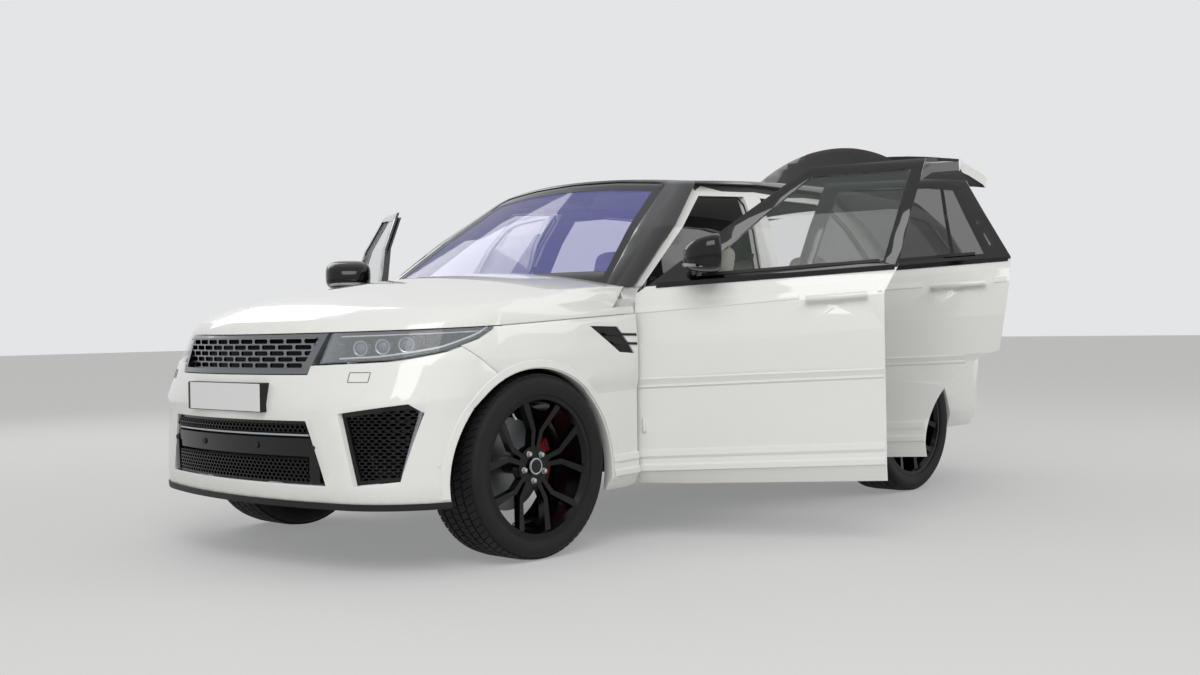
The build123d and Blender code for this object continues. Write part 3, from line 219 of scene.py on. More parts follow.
FINISHES = {
    # Solid white two-layer paint, sprayed and polished: mirror-like clear coat over a flat colour,
    # with a faint orange peel about 3 mm across.
    "paint": lambda: grained("White_body_paint", chosen("paint"), 0.32, 3.0, 0.004, coat=1.0,
                             coat_roughness=0.03, variation=0.012),
    # Gloss black body paint under clear coat: deep, with sharp reflections.
    "black": lambda: grained("Gloss_black_paint", chosen("black"), 0.2, 3.0, 0.003, coat=1.0,
                             coat_roughness=0.03, variation=0.05),
    # Moulded black polypropylene with a spark-eroded grain: a soft grey sheen, no mirror.
    "trim": lambda: grained("Grained_black_polypropylene", "#141517", 0.55, 1.2, 0.03),
    # Injection-moulded gloss black ABS, as on the grille beam and pillar covers.
    "gloss": lambda: grained("Gloss_black_abs", "#08080A", 0.10, 4.0, 0.002),
    # Satin dark nickel paint on the grille's mesh.
    "mesh": lambda: grained("Satin_dark_nickel", "#8A8C91", 0.3, 1.5, 0.003, metallic=0.85),
    # Satin mid-grey lacquer on the grille's frame.
    "surround": lambda: grained("Satin_grey_lacquer", "#6E7276", 0.3, 1.5, 0.003, metallic=0.5, coat=0.3),
    # Satin silver lacquer over moulded plastic, on thin bright strips.
    "silver": lambda: grained("Satin_silver_lacquer", "#B9BDC1", 0.28, 1.0, 0.002, metallic=0.7),
    # Vulcanised black rubber with carbon: matt with a dull sheen and a fine mould grain.
    "rubber": lambda: grained("Tyre_rubber", "#131315", 0.72, 1.0, 0.02, variation=0.12),
    # Gloss black lacquer over cast aluminium.
    "wheel": lambda: grained("Gloss_black_wheel_lacquer", "#070709", 0.14, 3.0, 0.003, ior=1.42),
    # Turned cast iron brake disc: grey, with a fine grain.
    "disc": lambda: grained("Turned_cast_iron", "#7C7E80", 0.34, 1.2, 0.01, metallic=0.9),
    # Forged and zinc-coated steel of the chassis: dull grey with blotches.
    "steel": lambda: grained("Zinc_coated_steel", "#5B5D5F", 0.48, 2.0, 0.02, metallic=0.8, variation=0.14),
    # Red heat-proof enamel on cast aluminium.
    "caliper": lambda: grained("Red_enamel", chosen("caliper"), 0.28, 2.5, 0.01, coat=0.5),
    # Light dyed leather with a pebble grain about 1.6 mm across, soft sheen.
    "leather": lambda: grained("Ivory_leather", chosen("leather"), 0.46, 1.6, 0.05, variation=0.05,
                               kind="voronoi", sheen=0.1),
    # Dark dyed leather on the dashboard's top and the door tops.
    "dark_leather": lambda: grained("Ebony_leather", "#242427", 0.5, 1.6, 0.05, kind="voronoi"),
    # Dark suede-like knitted headlining: no gloss, fine pile.
    "headliner": lambda: grained("Dark_suede_cloth", "#2A2A2D", 0.92, 1.0, 0.04, sheen=0.3),
    # Tufted dark carpet with a 3 mm tuft.
    "carpet": lambda: grained("Tufted_carpet", "#262628", 0.97, 3.0, 0.6, variation=0.2, sheen=0.3),
    # Blank white reflective sheet under clear plastic.
    "plate": lambda: grained("White_plate_sheet", "#E8E9EA", 0.3, 0.8, 0.002, coat=0.4, variation=0.01),
    # Milky acrylic of the light guides.
    "diffuser": lambda: grained("Milky_acrylic", "#F1F2F3", 0.25, 2.0, 0.002, coat=0.6, variation=0.01),
    # Silvered mirror glass.
    "mirror": lambda: grained("Silvered_mirror", "#D5D8DA", 0.03, 4.0, 0.0004, metallic=1.0, variation=0.01),
    # Tempered float glass with a grey-green tint.
    "glass": lambda: clear_sheet("Tinted_float_glass", "#46524A", 0.02, 0.78),
    # Laminated windscreen with a solar film. Its violet colour is a painted reflection: the tint that the
    # film throws back, set as the glass's own colour.
    "screen": lambda: clear_sheet("Solar_laminated_glass", "#6A70C8", 0.02, 0.64),
    # Privacy glass, nearly black.
    "privacy": lambda: clear_sheet("Privacy_glass", "#1C1B19", 0.03, 0.42),
    # Clear hard-coated polycarbonate of the headlamps.
    "lamp": lambda: clear_sheet("Clear_polycarbonate", "#C9D0D6", 0.02, 0.82),
    # Red moulded acrylic of the tail lamps.
    "red": lambda: clear_sheet("Red_acrylic", "#8A0A10", 0.05, 0.2),
    # Thick moulded glass of a lamp's lens.
    "lens": lambda: clear_sheet("Moulded_lens_glass", "#8FA0B4", 0.02, 0.45),
}


# Placing helpers

def turn_matrix(x, y, angle):
    """A turn about an upright line, the way a door stands open."""
    return Matrix.Translation((x, y, 0)) @ Matrix.Rotation(angle, 4, "Z") @ Matrix.Translation((-x, -y, 0))


def door_matrix(place, side):
    """Closed place to the place where the open door stands."""
    x, angle = DOORS[place]
    sign = 1 if side == "left" else -1
    return turn_matrix(x, sign * DOOR_HINGE_Y, -sign * angle)


def tailgate_matrix():
    """Closed place to the place where the open tailgate stands."""
    x, z = TAILGATE_HINGE
    move = Matrix.Translation((x, 0, z))
    return move @ Matrix.Rotation(TAILGATE_ANGLE, 4, "Y") @ move.inverted()


def rest_matrix(body):
    """The matrix from a body's closed or straight place to its place at rest."""
    if "_door_" in body:
        place, side = body.split("_door_")
        return door_matrix(place, side)
    if body == "tailgate":
        return tailgate_matrix()
    return Matrix.Identity(4)


def paint_node(node, rule):
    """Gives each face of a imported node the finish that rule(centre, normal) names, in closed places."""
    piece = NODES[node]
    back = rest_matrix(piece["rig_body"]).inverted()
    turn = back.to_3x3()
    names = []
    mesh = piece.data
    mesh.materials.clear()
    for polygon in mesh.polygons:
        name = rule(back @ polygon.center, turn @ polygon.normal)
        if name not in names:
            names.append(name)
            mesh.materials.append(material(name))
        polygon.material_index = names.index(name)


def paint_plain(node, name):
    """One finish for a whole node."""
    mesh = NODES[node].data
    mesh.materials.clear()
    mesh.materials.append(material(name))
    for polygon in mesh.polygons:
        polygon.material_index = 0


def soften(node, width):
    """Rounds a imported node's edges with a modifier, as pressed and moulded panels have them."""
    piece = NODES[node]
    weld = piece.modifiers.new("Joined", "WELD")
    weld.merge_threshold = 0.00005
    edge = piece.modifiers.new("Edges", "BEVEL")
    edge.width = width
    edge.segments = 2
    edge.limit_method = "ANGLE"
    edge.angle_limit = math.radians(28)
    edge.use_clamp_overlap = True
    edge.harden_normals = True


def door_rule(c, n):
    """White outside, black round the glass, light leather and dark plastic inside."""
    x, y, z = c.x - AXLE_X, abs(c.y), c.z
    outward = n.y * (1 if c.y > 0 else -1)
    if z > belt(x) - 0.004:
        return "black" if outward > -0.3 else "headliner"
    if outward > 0.25 or y > 0.93:
        return "paint"
    if z > belt(x) - 0.05:
        return "dark_leather"
    return "leather" if z > 0.87 else "trim"


def body_rule(c, n):
    """The shell: painted at the door openings, carpeted below, lined in cloth above."""
    x, y, z = c.x - AXLE_X, abs(c.y), c.z
    if x > -0.5:
        return "paint" if y > 0.6 and z > 0.6 else "trim"
    if z < 0.435 and y < 0.86:
        return "carpet" if n.z > 0.5 else "trim"
    outward = n.y * (1 if c.y > 0 else -1)
    if outward < -0.3 and y < 0.88 or z > 1.64:
        return "headliner" if z > 1.1 else "dark_leather"
    if x < -2.9:
        return "paint" if y > 0.8 or z > 1.0 else "trim"
    return "paint"


def roof_rule(c, n):
    """The roof: gloss black above, cloth below."""
    inner = n.z < -0.2 and c.z > 1.55
    return "headliner" if inner else "black"


def rim_rule(c, n):
    """The wheel: lacquered outside, bare disc inside."""
    x = c.x - AXLE_X if c.x > 0 else c.x - AXLE_X + WHEELBASE
    radius = math.hypot(x, c.z - HUB_Z)
    depth = abs(c.y)
    if depth < 0.776 and radius < 0.2:
        return "disc"
    return "wheel"


def tailgate_rule(c, n):
    """The tailgate: painted panel, black frame and spoiler, dark trim inside."""
    x, z = c.x - AXLE_X, c.z
    if n.x > 0.2 and not z > 1.68:
        return "trim"
    return "black" if z > belt(x) - 0.004 else "paint"


# Shapes, all made in metres with X forward from the front axle, everything closed and straight

class Shape:
    """Points and faces that one piece is built up from."""

    def __init__(self):
        self.points = []
        self.faces = []

    def add(self, points, faces):
        """Adds a group of points with faces that count from its first point."""
        base = len(self.points)
        self.points += [Vector(p) for p in points]
        self.faces += [tuple(base + i for i in face) for face in faces]
        return self

    def rings(self, rings, closed=True, caps=True, loop=False):
        """Joins rings of points one after the other, with end caps or as an endless loop."""
        n = len(rings[0])
        faces = []
        pairs = [(i, i + 1) for i in range(len(rings) - 1)] + ([(len(rings) - 1, 0)] if loop else [])
        for a, b in pairs:
            for i in range(n if closed else n - 1):
                j = (i + 1) % n
                faces.append((a * n + i, a * n + j, b * n + j, b * n + i))
        if caps and closed and not loop:
            faces.append(tuple(range(n - 1, -1, -1)))
            faces.append(tuple((len(rings) - 1) * n + i for i in range(n)))
        return self.add([p for ring in rings for p in ring], faces)

    def slab(self, outline, shift):
        """An outline drawn out by a shift, as a closed block."""
        shift = Vector(shift)
        return self.rings([outline, [Vector(p) + shift for p in outline]])

    def block(self, low, high):
        """A block between two corners."""
        (x1, y1, z1), (x2, y2, z2) = low, high
        return self.slab([(x1, y1, z1), (x2, y1, z1), (x2, y2, z1), (x1, y2, z1)], (0, 0, z2 - z1))

    def sweep(self, path, section, side, loop=False):
        """A section of (across, up) offsets moved along a path; side is a direction near its width."""
        path = [Vector(p) for p in path]
        rings = []
        for i, point in enumerate(path):
            before = path[i - 1] if loop or i else point
            after = path[(i + 1) % len(path)] if loop or i < len(path) - 1 else point
            along = (after - before).normalized()
            up = along.cross(Vector(side)).normalized()
            across = up.cross(along).normalized()
            rings.append([point + across * a + up * b for a, b in section])
        return self.rings(rings, loop=loop)

    def tube(self, path, radius, count=10, loop=False):
        """A round bar along a path."""
        section = [(radius * math.cos(t), radius * math.sin(t)) for t in steps(count)]
        path = [Vector(p) for p in path]
        along = path[1] - path[0]
        side = (0, 0, 1) if abs(along.normalized().z) < 0.9 else (1, 0, 0)
        return self.sweep(path, section, side, loop)

    def lathe(self, profile, centre, count=48, axis="y", closed=False):
        """A profile of (radius, offset along the axis) turned about an axis through the centre."""
        rings = []
        for t in steps(count):
            ring = []
            for radius, offset in profile:
                a, b = radius * math.cos(t), radius * math.sin(t)
                turned = {"y": (a, offset, b), "x": (offset, a, b), "z": (a, b, offset)}[axis]
                ring.append(Vector(centre) + Vector(turned))
            rings.append(ring)
        return self.rings(rings, closed=closed, caps=False, loop=True)

    def strip(self, lower, upper, depth):
        """A thin strip between two lines of points, given thickness along a depth vector."""
        depth = Vector(depth)
        rings = []
        for a, b in zip(lower, upper):
            a, b = Vector(a), Vector(b)
            rings.append([a, b, b + depth, a + depth])
        return self.rings(rings)

    def turned(self, matrix):
        """Every point moved by a matrix."""
        self.points = [matrix @ p for p in self.points]
        return self

    def mirror(self):
        """A copy on the other side of the vehicle."""
        other = Shape()
        other.add([(p.x, -p.y, p.z) for p in self.points], [face[::-1] for face in self.faces])
        return other

    def join(self, other):
        """Takes in another shape's points and faces."""
        return self.add(other.points, other.faces)

    def both(self):
        """The shape with its mirror image."""
        return self.join(self.mirror())


def steps(count, start=0.0, turn=math.tau):
    """Equal angles round a circle."""
    return [start + turn * i / count for i in range(count)]


def between(a, b, count):
    """Points at equal steps from a to b, both included."""
    a, b = Vector(a), Vector(b)
    return [a.lerp(b, i / (count - 1)) for i in range(count)]


def row(first, last, count=48):
    """Numbers at equal steps from first to last, both included."""
    return [first + (last - first) * i / (count - 1) for i in range(count)]


def walk(outline, count, start=0, closed=True):
    """Places at equal steps along each side of an outline of pairs."""
    for (xa, za), (xb, zb) in zip(outline, outline[1:] + (outline[:1] if closed else [])):
        for i in range(start, count):
            yield xa + (xb - xa) * i / count, za + (zb - za) * i / count


def around(point, *moves):
    """The places that lie off a point by each of the moves."""
    return [point + Vector(move) for move in moves]


def bar_section(wide, high):
    """The section of a flat bar, from its half width and half height."""
    return [(-wide, -high), (wide, -high), (wide, high), (-wide, high)]


def leaning(y0, y1, low, high, shift):
    """A flat panel between a lower and an upper edge, given as (x, z), drawn out by a shift."""
    (x0, z0), (x1, z1) = low, high
    return Shape().slab([(x0, y0, z0), (x0, y1, z0), (x1, y1, z1), (x1, y0, z1)], shift)


def add_piece(name, body, shape, finish, sharp=32.0, bevel=0.0):
    """Makes one shown piece that rides on a body, placed as that body stands."""
    mesh = bpy.data.meshes.new(name)
    mesh.from_pydata([tuple(p) for p in shape.points], [], shape.faces)
    work = bmesh.new()
    work.from_mesh(mesh)
    bmesh.ops.remove_doubles(work, verts=work.verts, dist=0.00002)
    bmesh.ops.recalc_face_normals(work, faces=work.faces)
    work.to_mesh(mesh)
    work.free()
    mesh.transform(rest_matrix(body) @ Matrix.Translation((AXLE_X, 0, 0)))
    mesh.materials.append(material(finish))
    for polygon in mesh.polygons:
        polygon.use_smooth = True
    mesh.set_sharp_from_angle(angle=math.radians(sharp))
    piece = bpy.data.objects.new(name, mesh)
    bpy.context.scene.collection.objects.link(piece)
    if bevel:
        edge = piece.modifiers.new("Edges", "BEVEL")
        edge.width = bevel
        edge.segments = 2
        edge.limit_method = "ANGLE"
        edge.angle_limit = math.radians(35)
        edge.harden_normals = True
    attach(piece, body)
    return piece


def add_pair(name, body, shape, finish, sharp=32.0, bevel=0.0):
    """A left piece and its mirror image, each riding on the body of its own side."""
    return [add_piece(f"{name}_{side}", f"{body}_{side}", shape if side == "left" else shape.mirror(),
                      finish, sharp, bevel) for side in SIDES]


class Skin:
    """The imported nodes' outer surface, found by rays in closed places."""

    def __init__(self, *nodes):
        self.trees = []
        for node in nodes:
            piece = NODES[node]
            back = Matrix.Translation((-AXLE_X, 0, 0)) @ rest_matrix(piece["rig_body"]).inverted()
            points = [back @ v.co for v in piece.data.vertices]
            self.trees.append(BVHTree.FromPolygons(points, [tuple(p.vertices) for p in piece.data.polygons]))

    def hit(self, start, direction):
        """The first point that a ray meets, or None."""
        best = None
        for tree in self.trees:
            place, _, _, distance = tree.ray_cast(Vector(start), Vector(direction), 6.0)
            if place is not None and (best is None or distance < best[0]):
                best = (distance, place)
        return best[1] if best else None

    def side(self, x, z, out=0.0, fallback=0.95):
        """The left side's surface at a place in side view, moved outwards."""
        place = self.hit((x, 1.6, z), (0, -1, 0))
        return Vector((x, (place.y if place else fallback) + out, z))

    def front(self, y, z, out=0.0, fallback=0.8):
        """The nose's surface at a place in front view, moved forwards."""
        place = self.hit((2.0, y, z), (-1, 0, 0))
        return Vector(((place.x if place else fallback) + out, y, z))

    def back(self, y, z, out=0.0, fallback=-3.95):
        """The tail's surface at a place in rear view, moved rearwards."""
        place = self.hit((-5.5, y, z), (1, 0, 0))
        return Vector(((place.x if place else fallback) - out, y, z))

    def across(self, columns, section, fallback):
        """A low form across the tail: section rows are height and offset, columns are places across."""
        return Shape().rings([[self.back(y, z, out, fallback) for z, out in section] for y in columns])

    def top(self, x, y, out=0.0, fallback=1.2):
        """The upper surface at a place in plan, moved upwards."""
        place = self.hit((x, y, 2.6), (0, 0, -1))
        return Vector((x, y, (place.z if place else fallback) + out))


# Operators

PLAIN_NODES = {
    "paint": ("quarter_panels", "front_wings", "front_bumper", "rear_bumper", "bonnet"),
    "trim": ("lower_trims", "scuttle", "arch_liners"), "gloss": ("side_vents", "lower_grilles"),
    "red": ("tail_lamps",), "lamp": ("headlamps",), "mesh": ("grille",),
    "steel": ("engine", "exhaust", "axles"),
}


class SUV_OT_paint_shell(bpy.types.Operator):
    """Paints the fixed skins and the shell"""
    bl_idname = "suv.paint_shell"
    bl_label = "Paint the shell and skins"

    def execute(self, context):
        paint_node("body_shell", body_rule)
        paint_node("roof", roof_rule)
        for finish, nodes in PLAIN_NODES.items():
            for node in nodes:
                paint_plain(node, finish)
        # The windscreen takes the glass whose violet colour is a painted reflection; the rest takes privacy
        # glass.
        paint_node("fixed_glass", lambda c, n: "screen" if c.x - AXLE_X > -2.0 else "privacy")
        for node in PLAIN_NODES["paint"] + ("roof",):
            soften(node, EDGE_ROUND)
        return {"FINISHED"}


class SUV_OT_paint_doors(bpy.types.Operator):
    """Paints the doors, their glass, the mirrors and the tailgate"""
    bl_idname = "suv.paint_doors"
    bl_label = "Paint the doors and tailgate"

    def execute(self, context):
        for side in SIDES:
            for place in ("front", "rear"):
                paint_node(f"{place}_door_{side}", door_rule)
                paint_plain(f"{place}_glass_{side}", "glass" if place == "front" else "privacy")
                soften(f"{place}_door_{side}", EDGE_ROUND)
            paint_plain(f"mirror_{side}", "black")
        paint_node("tailgate", tailgate_rule)
        soften("tailgate", EDGE_ROUND)
        paint_plain("tailgate_glass", "privacy")
        return {"FINISHED"}


class SUV_OT_paint_wheels(bpy.types.Operator):
    """Finishes the tyres, rims, brakes and uprights"""
    bl_idname = "suv.paint_wheels"
    bl_label = "Finish the wheels"

    def execute(self, context):
        for side in ("left", "right"):
            for place in ("front", "rear"):
                paint_plain(f"tyre_{place}_{side}", "rubber")
                paint_node(f"rim_{place}_{side}", rim_rule)
            paint_plain(f"knuckle_front_{side}", "steel")
            paint_plain(f"caliper_front_{side}", "caliper")
        return {"FINISHED"}


class SUV_OT_paint_cabin(bpy.types.Operator):
    """Finishes the seats, dashboard and steering wheel"""
    bl_idname = "suv.paint_cabin"
    bl_label = "Finish the cabin"

    def execute(self, context):
        paint_plain("seats", "leather")
        paint_plain("dashboard", "dark_leather")
        paint_plain("steering_wheel", "dark_leather")
        return {"FINISHED"}


# Lines of the body that the fine pieces follow, in metres as above

NOSE_LEVELS = [
    # columns: height at the nose, half width, nose x, sag of the plan curve
    (0.256, 0.982, 0.840, 0.190),
    (0.344, 0.976, 0.858, 0.195),
    (0.624, 0.979, 0.882, 0.258),
    (0.670, 0.990, 0.886, 0.285),
    (0.821, 0.992, 0.864, 0.370),
    (0.941, 0.978, 0.824, 0.405),
    (1.006, 0.962, 0.778, 0.412),
]
NOSE_CORNER = 0.44
# How far the flank stands inside the half width
FLANK_INSET = 0.016
LAMP_LOW = [(0.82, 0.826), (0.62, 0.842), (0.45, 0.876), (0.31, 0.924), (0.236, 0.962), (0.222, 0.975)]
BONNET_EDGE = [(0.85, 0.955), (0.205, 0.977), (-0.56, 1.019)]
GRILLE_INNER = [(0.438, 0.816), (0.472, 0.938)]
CELL_WALL = 0.0018
CELL_DEPTH = 0.010
SIDE_INTAKE = [(0.640, 0.640), (0.880, 0.676), (0.912, 0.640), (0.856, 0.376), (0.704, 0.358)]


def along(table, x):
    """The height of a line given as points of falling or rising place, at a place between them."""
    points = sorted(table)
    if x <= points[0][0]:
        return points[0][1]
    for (x1, z1), (x2, z2) in zip(points, points[1:]):
        if x <= x2:
            return z1 + (z2 - z1) * (x - x1) / (x2 - x1)
    return points[-1][1]


def nose_level(z):
    """Half width, nose place and sag of the nose's plan curve at a height."""
    return [along([(row[0], row[i]) for row in NOSE_LEVELS], z) for i in (1, 2, 3)]


def nose_curve(z, inset):
    """The nose's plan curve at a height: half width, reach, radius, and its corner's radius and middle."""
    half, nose, sag = nose_level(z)
    radius = ((half - FLANK_INSET) ** 2 + sag ** 2) / (2 * sag)
    half, nose, corner = half - inset, nose - inset, NOSE_CORNER - inset
    corner_y = half - FLANK_INSET - corner
    corner_x = nose - radius + math.sqrt((radius - corner) ** 2 - corner_y ** 2)
    return half, nose, radius, corner, corner_x, corner_y


def nose_x(y, z):
    """How far forward the nose reaches at a place in front view."""
    _, nose, radius, corner, corner_x, corner_y = nose_curve(z, 0.0)
    y = abs(y)
    if y <= corner_y * radius / (radius - corner):
        return nose - radius + math.sqrt(radius ** 2 - y ** 2)
    return corner_x + math.sqrt(max(0.0, corner ** 2 - (y - corner_y) ** 2))


def nose_contour(z, inset, y_start, x_end, count):
    """Points at equal steps along the nose and round its left corner, at one height."""
    half, nose, radius, corner, corner_x, corner_y = nose_curve(z, inset)
    turn_y = corner_y * radius / (radius - corner)
    line = [(nose - radius + math.sqrt(radius ** 2 - y ** 2), y) for y in row(y_start, turn_y, 40)]
    for t in row(math.asin((turn_y - corner_y) / corner), math.pi / 2, 60)[1:]:
        line.append((corner_x + corner * math.cos(t), corner_y + corner * math.sin(t)))
    line.append((x_end, half - FLANK_INSET))
    lengths = [0.0]
    for a, b in zip(line, line[1:]):
        lengths.append(lengths[-1] + math.hypot(b[0] - a[0], b[1] - a[1]))
    points, j = [], 0
    for i in range(count):
        want = lengths[-1] * i / (count - 1)
        while j < len(lengths) - 2 and lengths[j + 1] < want:
            j += 1
        t = (want - lengths[j]) / max(1e-9, lengths[j + 1] - lengths[j])
        a, b = line[j], line[j + 1]
        points.append(Vector((a[0] + (b[0] - a[0]) * t, a[1] + (b[1] - a[1]) * t, z)))
    return points


def honeycomb(shape, outline, pitch, back, wide):
    """Adds hexagon cells inside a front view outline, following the nose at a depth behind it."""
    low_y, high_y = min(p[0] for p in outline), max(p[0] for p in outline)
    low_z, high_z = min(p[1] for p in outline), max(p[1] for p in outline)
    level, z = 0, low_z
    while z < high_z + pitch:
        y = low_y - pitch + (pitch * wide * 0.5 if level % 2 else 0.0)
        while y < high_y + pitch:
            outer, inner = [], []
            for t in steps(6, math.pi / 6):
                cy, cz = pitch * wide / math.sqrt(3) * math.cos(t), pitch / math.sqrt(3) * math.sin(t)
                outer.append((y + cy, z + cz))
                shrink = 1 - 2 * CELL_WALL / pitch
                inner.append((y + cy * shrink, z + cz * shrink))
            if all(inside(p, outline) for p in outer):
                rings = []
                for points, far in ((outer, 0.0), (inner, 0.0), (inner, CELL_DEPTH)):
                    rings.append([(nose_x(a, b) - back - far, a, b) for a, b in points])
                shape.rings(rings, caps=False)
            y += pitch * wide
        z += pitch * math.sqrt(3) / 2
        level += 1
    return shape


def inside(point, outline):
    """Whether a place lies in a closed outline."""
    found = False
    px, py = point
    for (x1, y1), (x2, y2) in zip(outline, outline[1:] + outline[:1]):
        if (y1 > py) != (y2 > py) and px < (x2 - x1) * (py - y1) / (y2 - y1) + x1:
            found = not found
    return found


def trapezoid(top, foot):
    """A symmetric front view outline from its top and foot corners."""
    return [(-foot[0], foot[1]), (foot[0], foot[1]), (top[0], top[1]), (-top[0], top[1])]


def across_nose(z_low, z_high, y_from, y_to, back, thick, count=25):
    """A bar across the nose between two heights, set back from the skin."""
    rings = []
    for y in row(y_from, y_to, count):
        low, high = nose_x(y, z_low) - back, nose_x(y, z_high) - back
        rings.append([(low, y, z_low), (high, y, z_high), (high - thick, y, z_high),
                      (low - thick, y, z_low)])
    return Shape().rings(rings)


def grille_rule(c, n):
    """The grille: grey frame, dark mesh."""
    y, z = abs(c.y), c.z
    (y1, z1), (y2, z2) = GRILLE_INNER
    limit = y1 + (y2 - y1) * (z - z1) / (z2 - z1)
    if y > limit + 0.001 or not z1 - 0.001 < z < z2 + 0.001:
        return "surround"
    return "mesh" if n.x > 0.5 else "gloss"


class SUV_OT_front(bpy.types.Operator):
    """Adds the grille's backing, the intakes' honeycomb, the bars, the sensors and the blank plate"""
    bl_idname = "suv.front"
    bl_label = "Add the front pieces"

    def execute(self, context):
        paint_node("grille", grille_rule)
        duct = across_nose(0.800, 0.950, -0.45, 0.45, 0.075, 0.004)
        duct.join(across_nose(0.545, 0.610, -0.50, 0.50, 0.085, 0.004))
        duct.join(across_nose(0.362, 0.466, -0.56, 0.56, 0.085, 0.004))
        add_piece("air_ducts", "body", duct, "trim")
        core = Shape().block((0.56, -0.34, 0.36), (0.60, 0.34, 0.92))
        for y in row(-0.335, 0.335, 56):
            core.block((0.60, y - 0.001, 0.37), (0.608, y + 0.001, 0.91))
        add_piece("radiator_core", "body", core, "steel")
        pitch = context.scene.suv_sizes.honeycomb
        mesh = honeycomb(Shape(), trapezoid((0.486, 0.608), (0.508, 0.556)), pitch, 0.006, 1.5)
        honeycomb(mesh, trapezoid((0.500, 0.466), (0.505, 0.360)), pitch, 0.006, 1.5)
        for side in (1, -1):
            honeycomb(mesh, [(y * side, z) for y, z in SIDE_INTAKE], pitch * 0.85, 0.030, 1.8)
        add_piece("intake_honeycomb", "body", mesh, "gloss", sharp=20)
        ends = across_nose(0.364, 0.497, 0.497, 0.548, 0.002, 0.030, 9)
        add_piece("intake_end_pieces", "body", ends.both(), "gloss", bevel=0.004)
        bar = across_nose(0.549, 0.557, -0.492, 0.492, 0.010, 0.012, 41)
        add_piece("intake_bar", "body", bar, "silver", bevel=0.0015)
        rings = []
        for y, z in zip(row(0.862, 0.906, 9), row(0.392, 0.650, 9)):
            x = nose_x(y, z)
            rings.append([(x - 0.004, y, z), (x - 0.004, y - 0.018, z), (x - 0.022, y - 0.018, z),
                          (x - 0.022, y, z)])
        strips = Shape().rings(rings).both()
        add_piece("intake_side_strips", "body", strips, "silver", bevel=0.0015)
        self.sensors()
        self.plate()
        return {"FINISHED"}

    def sensors(self):
        """Parking sensors on the beam and the bumper, and the gap round each washer cover."""
        dots = Shape()
        z, out = 0.505, -0.006
        for y in (0.20, 0.52):
            dots.lathe([(0.0, out + 0.004), (0.010, out + 0.004), (0.013, out + 0.001), (0.013, out - 0.01)],
                       (nose_x(y, z), y, z), 20, "x")
        add_piece("beam_sensors", "body", dots.both(), "trim", sharp=25)
        skin = Skin("front_bumper", "front_wings")
        caps = Shape()
        spot = skin.side(0.502, 0.432, 0.0015)
        caps.lathe([(0.0, 0.0), (0.010, 0.0), (0.012, -0.002), (0.012, -0.008)], spot, 20)
        add_piece("corner_sensors", "body", caps.both(), "paint", sharp=25)
        cover = [(0.655, 0.762), (0.735, 0.762), (0.735, 0.800), (0.655, 0.800)]
        line = [skin.front(y, z, 0.0006) for y, z in walk(cover, 6)]
        covers = Shape().sweep(line, bar_section(0.0012, 0.0008), (1, 0, 0), True)
        add_piece("washer_cover_gaps", "body", covers.both(), "trim")

    def plate(self):
        """A blank white number plate on its black holder, with a dark edge at one end."""
        skin = Skin("front_bumper", "lower_grilles")
        x = max(skin.front(y, z).x for y in (-0.26, 0.0, 0.28) for z in (0.65, 0.70, 0.75)) + 0.004
        holder = Shape().block((x - 0.05, -0.262, 0.642), (x + 0.004, 0.286, 0.760))
        add_piece("plate_holder", "body", holder, "trim", bevel=0.003)
        sheet = Shape().block((x + 0.0042, -0.246, 0.645), (x + 0.0062, 0.286, 0.757))
        add_piece("front_plate", "body", sheet, "plate", bevel=0.0008)
        edge = Shape().block((x + 0.0042, -0.262, 0.645), (x + 0.0063, -0.2464, 0.757))
        add_piece("front_plate_edge", "body", edge, "carpet", bevel=0.0004)


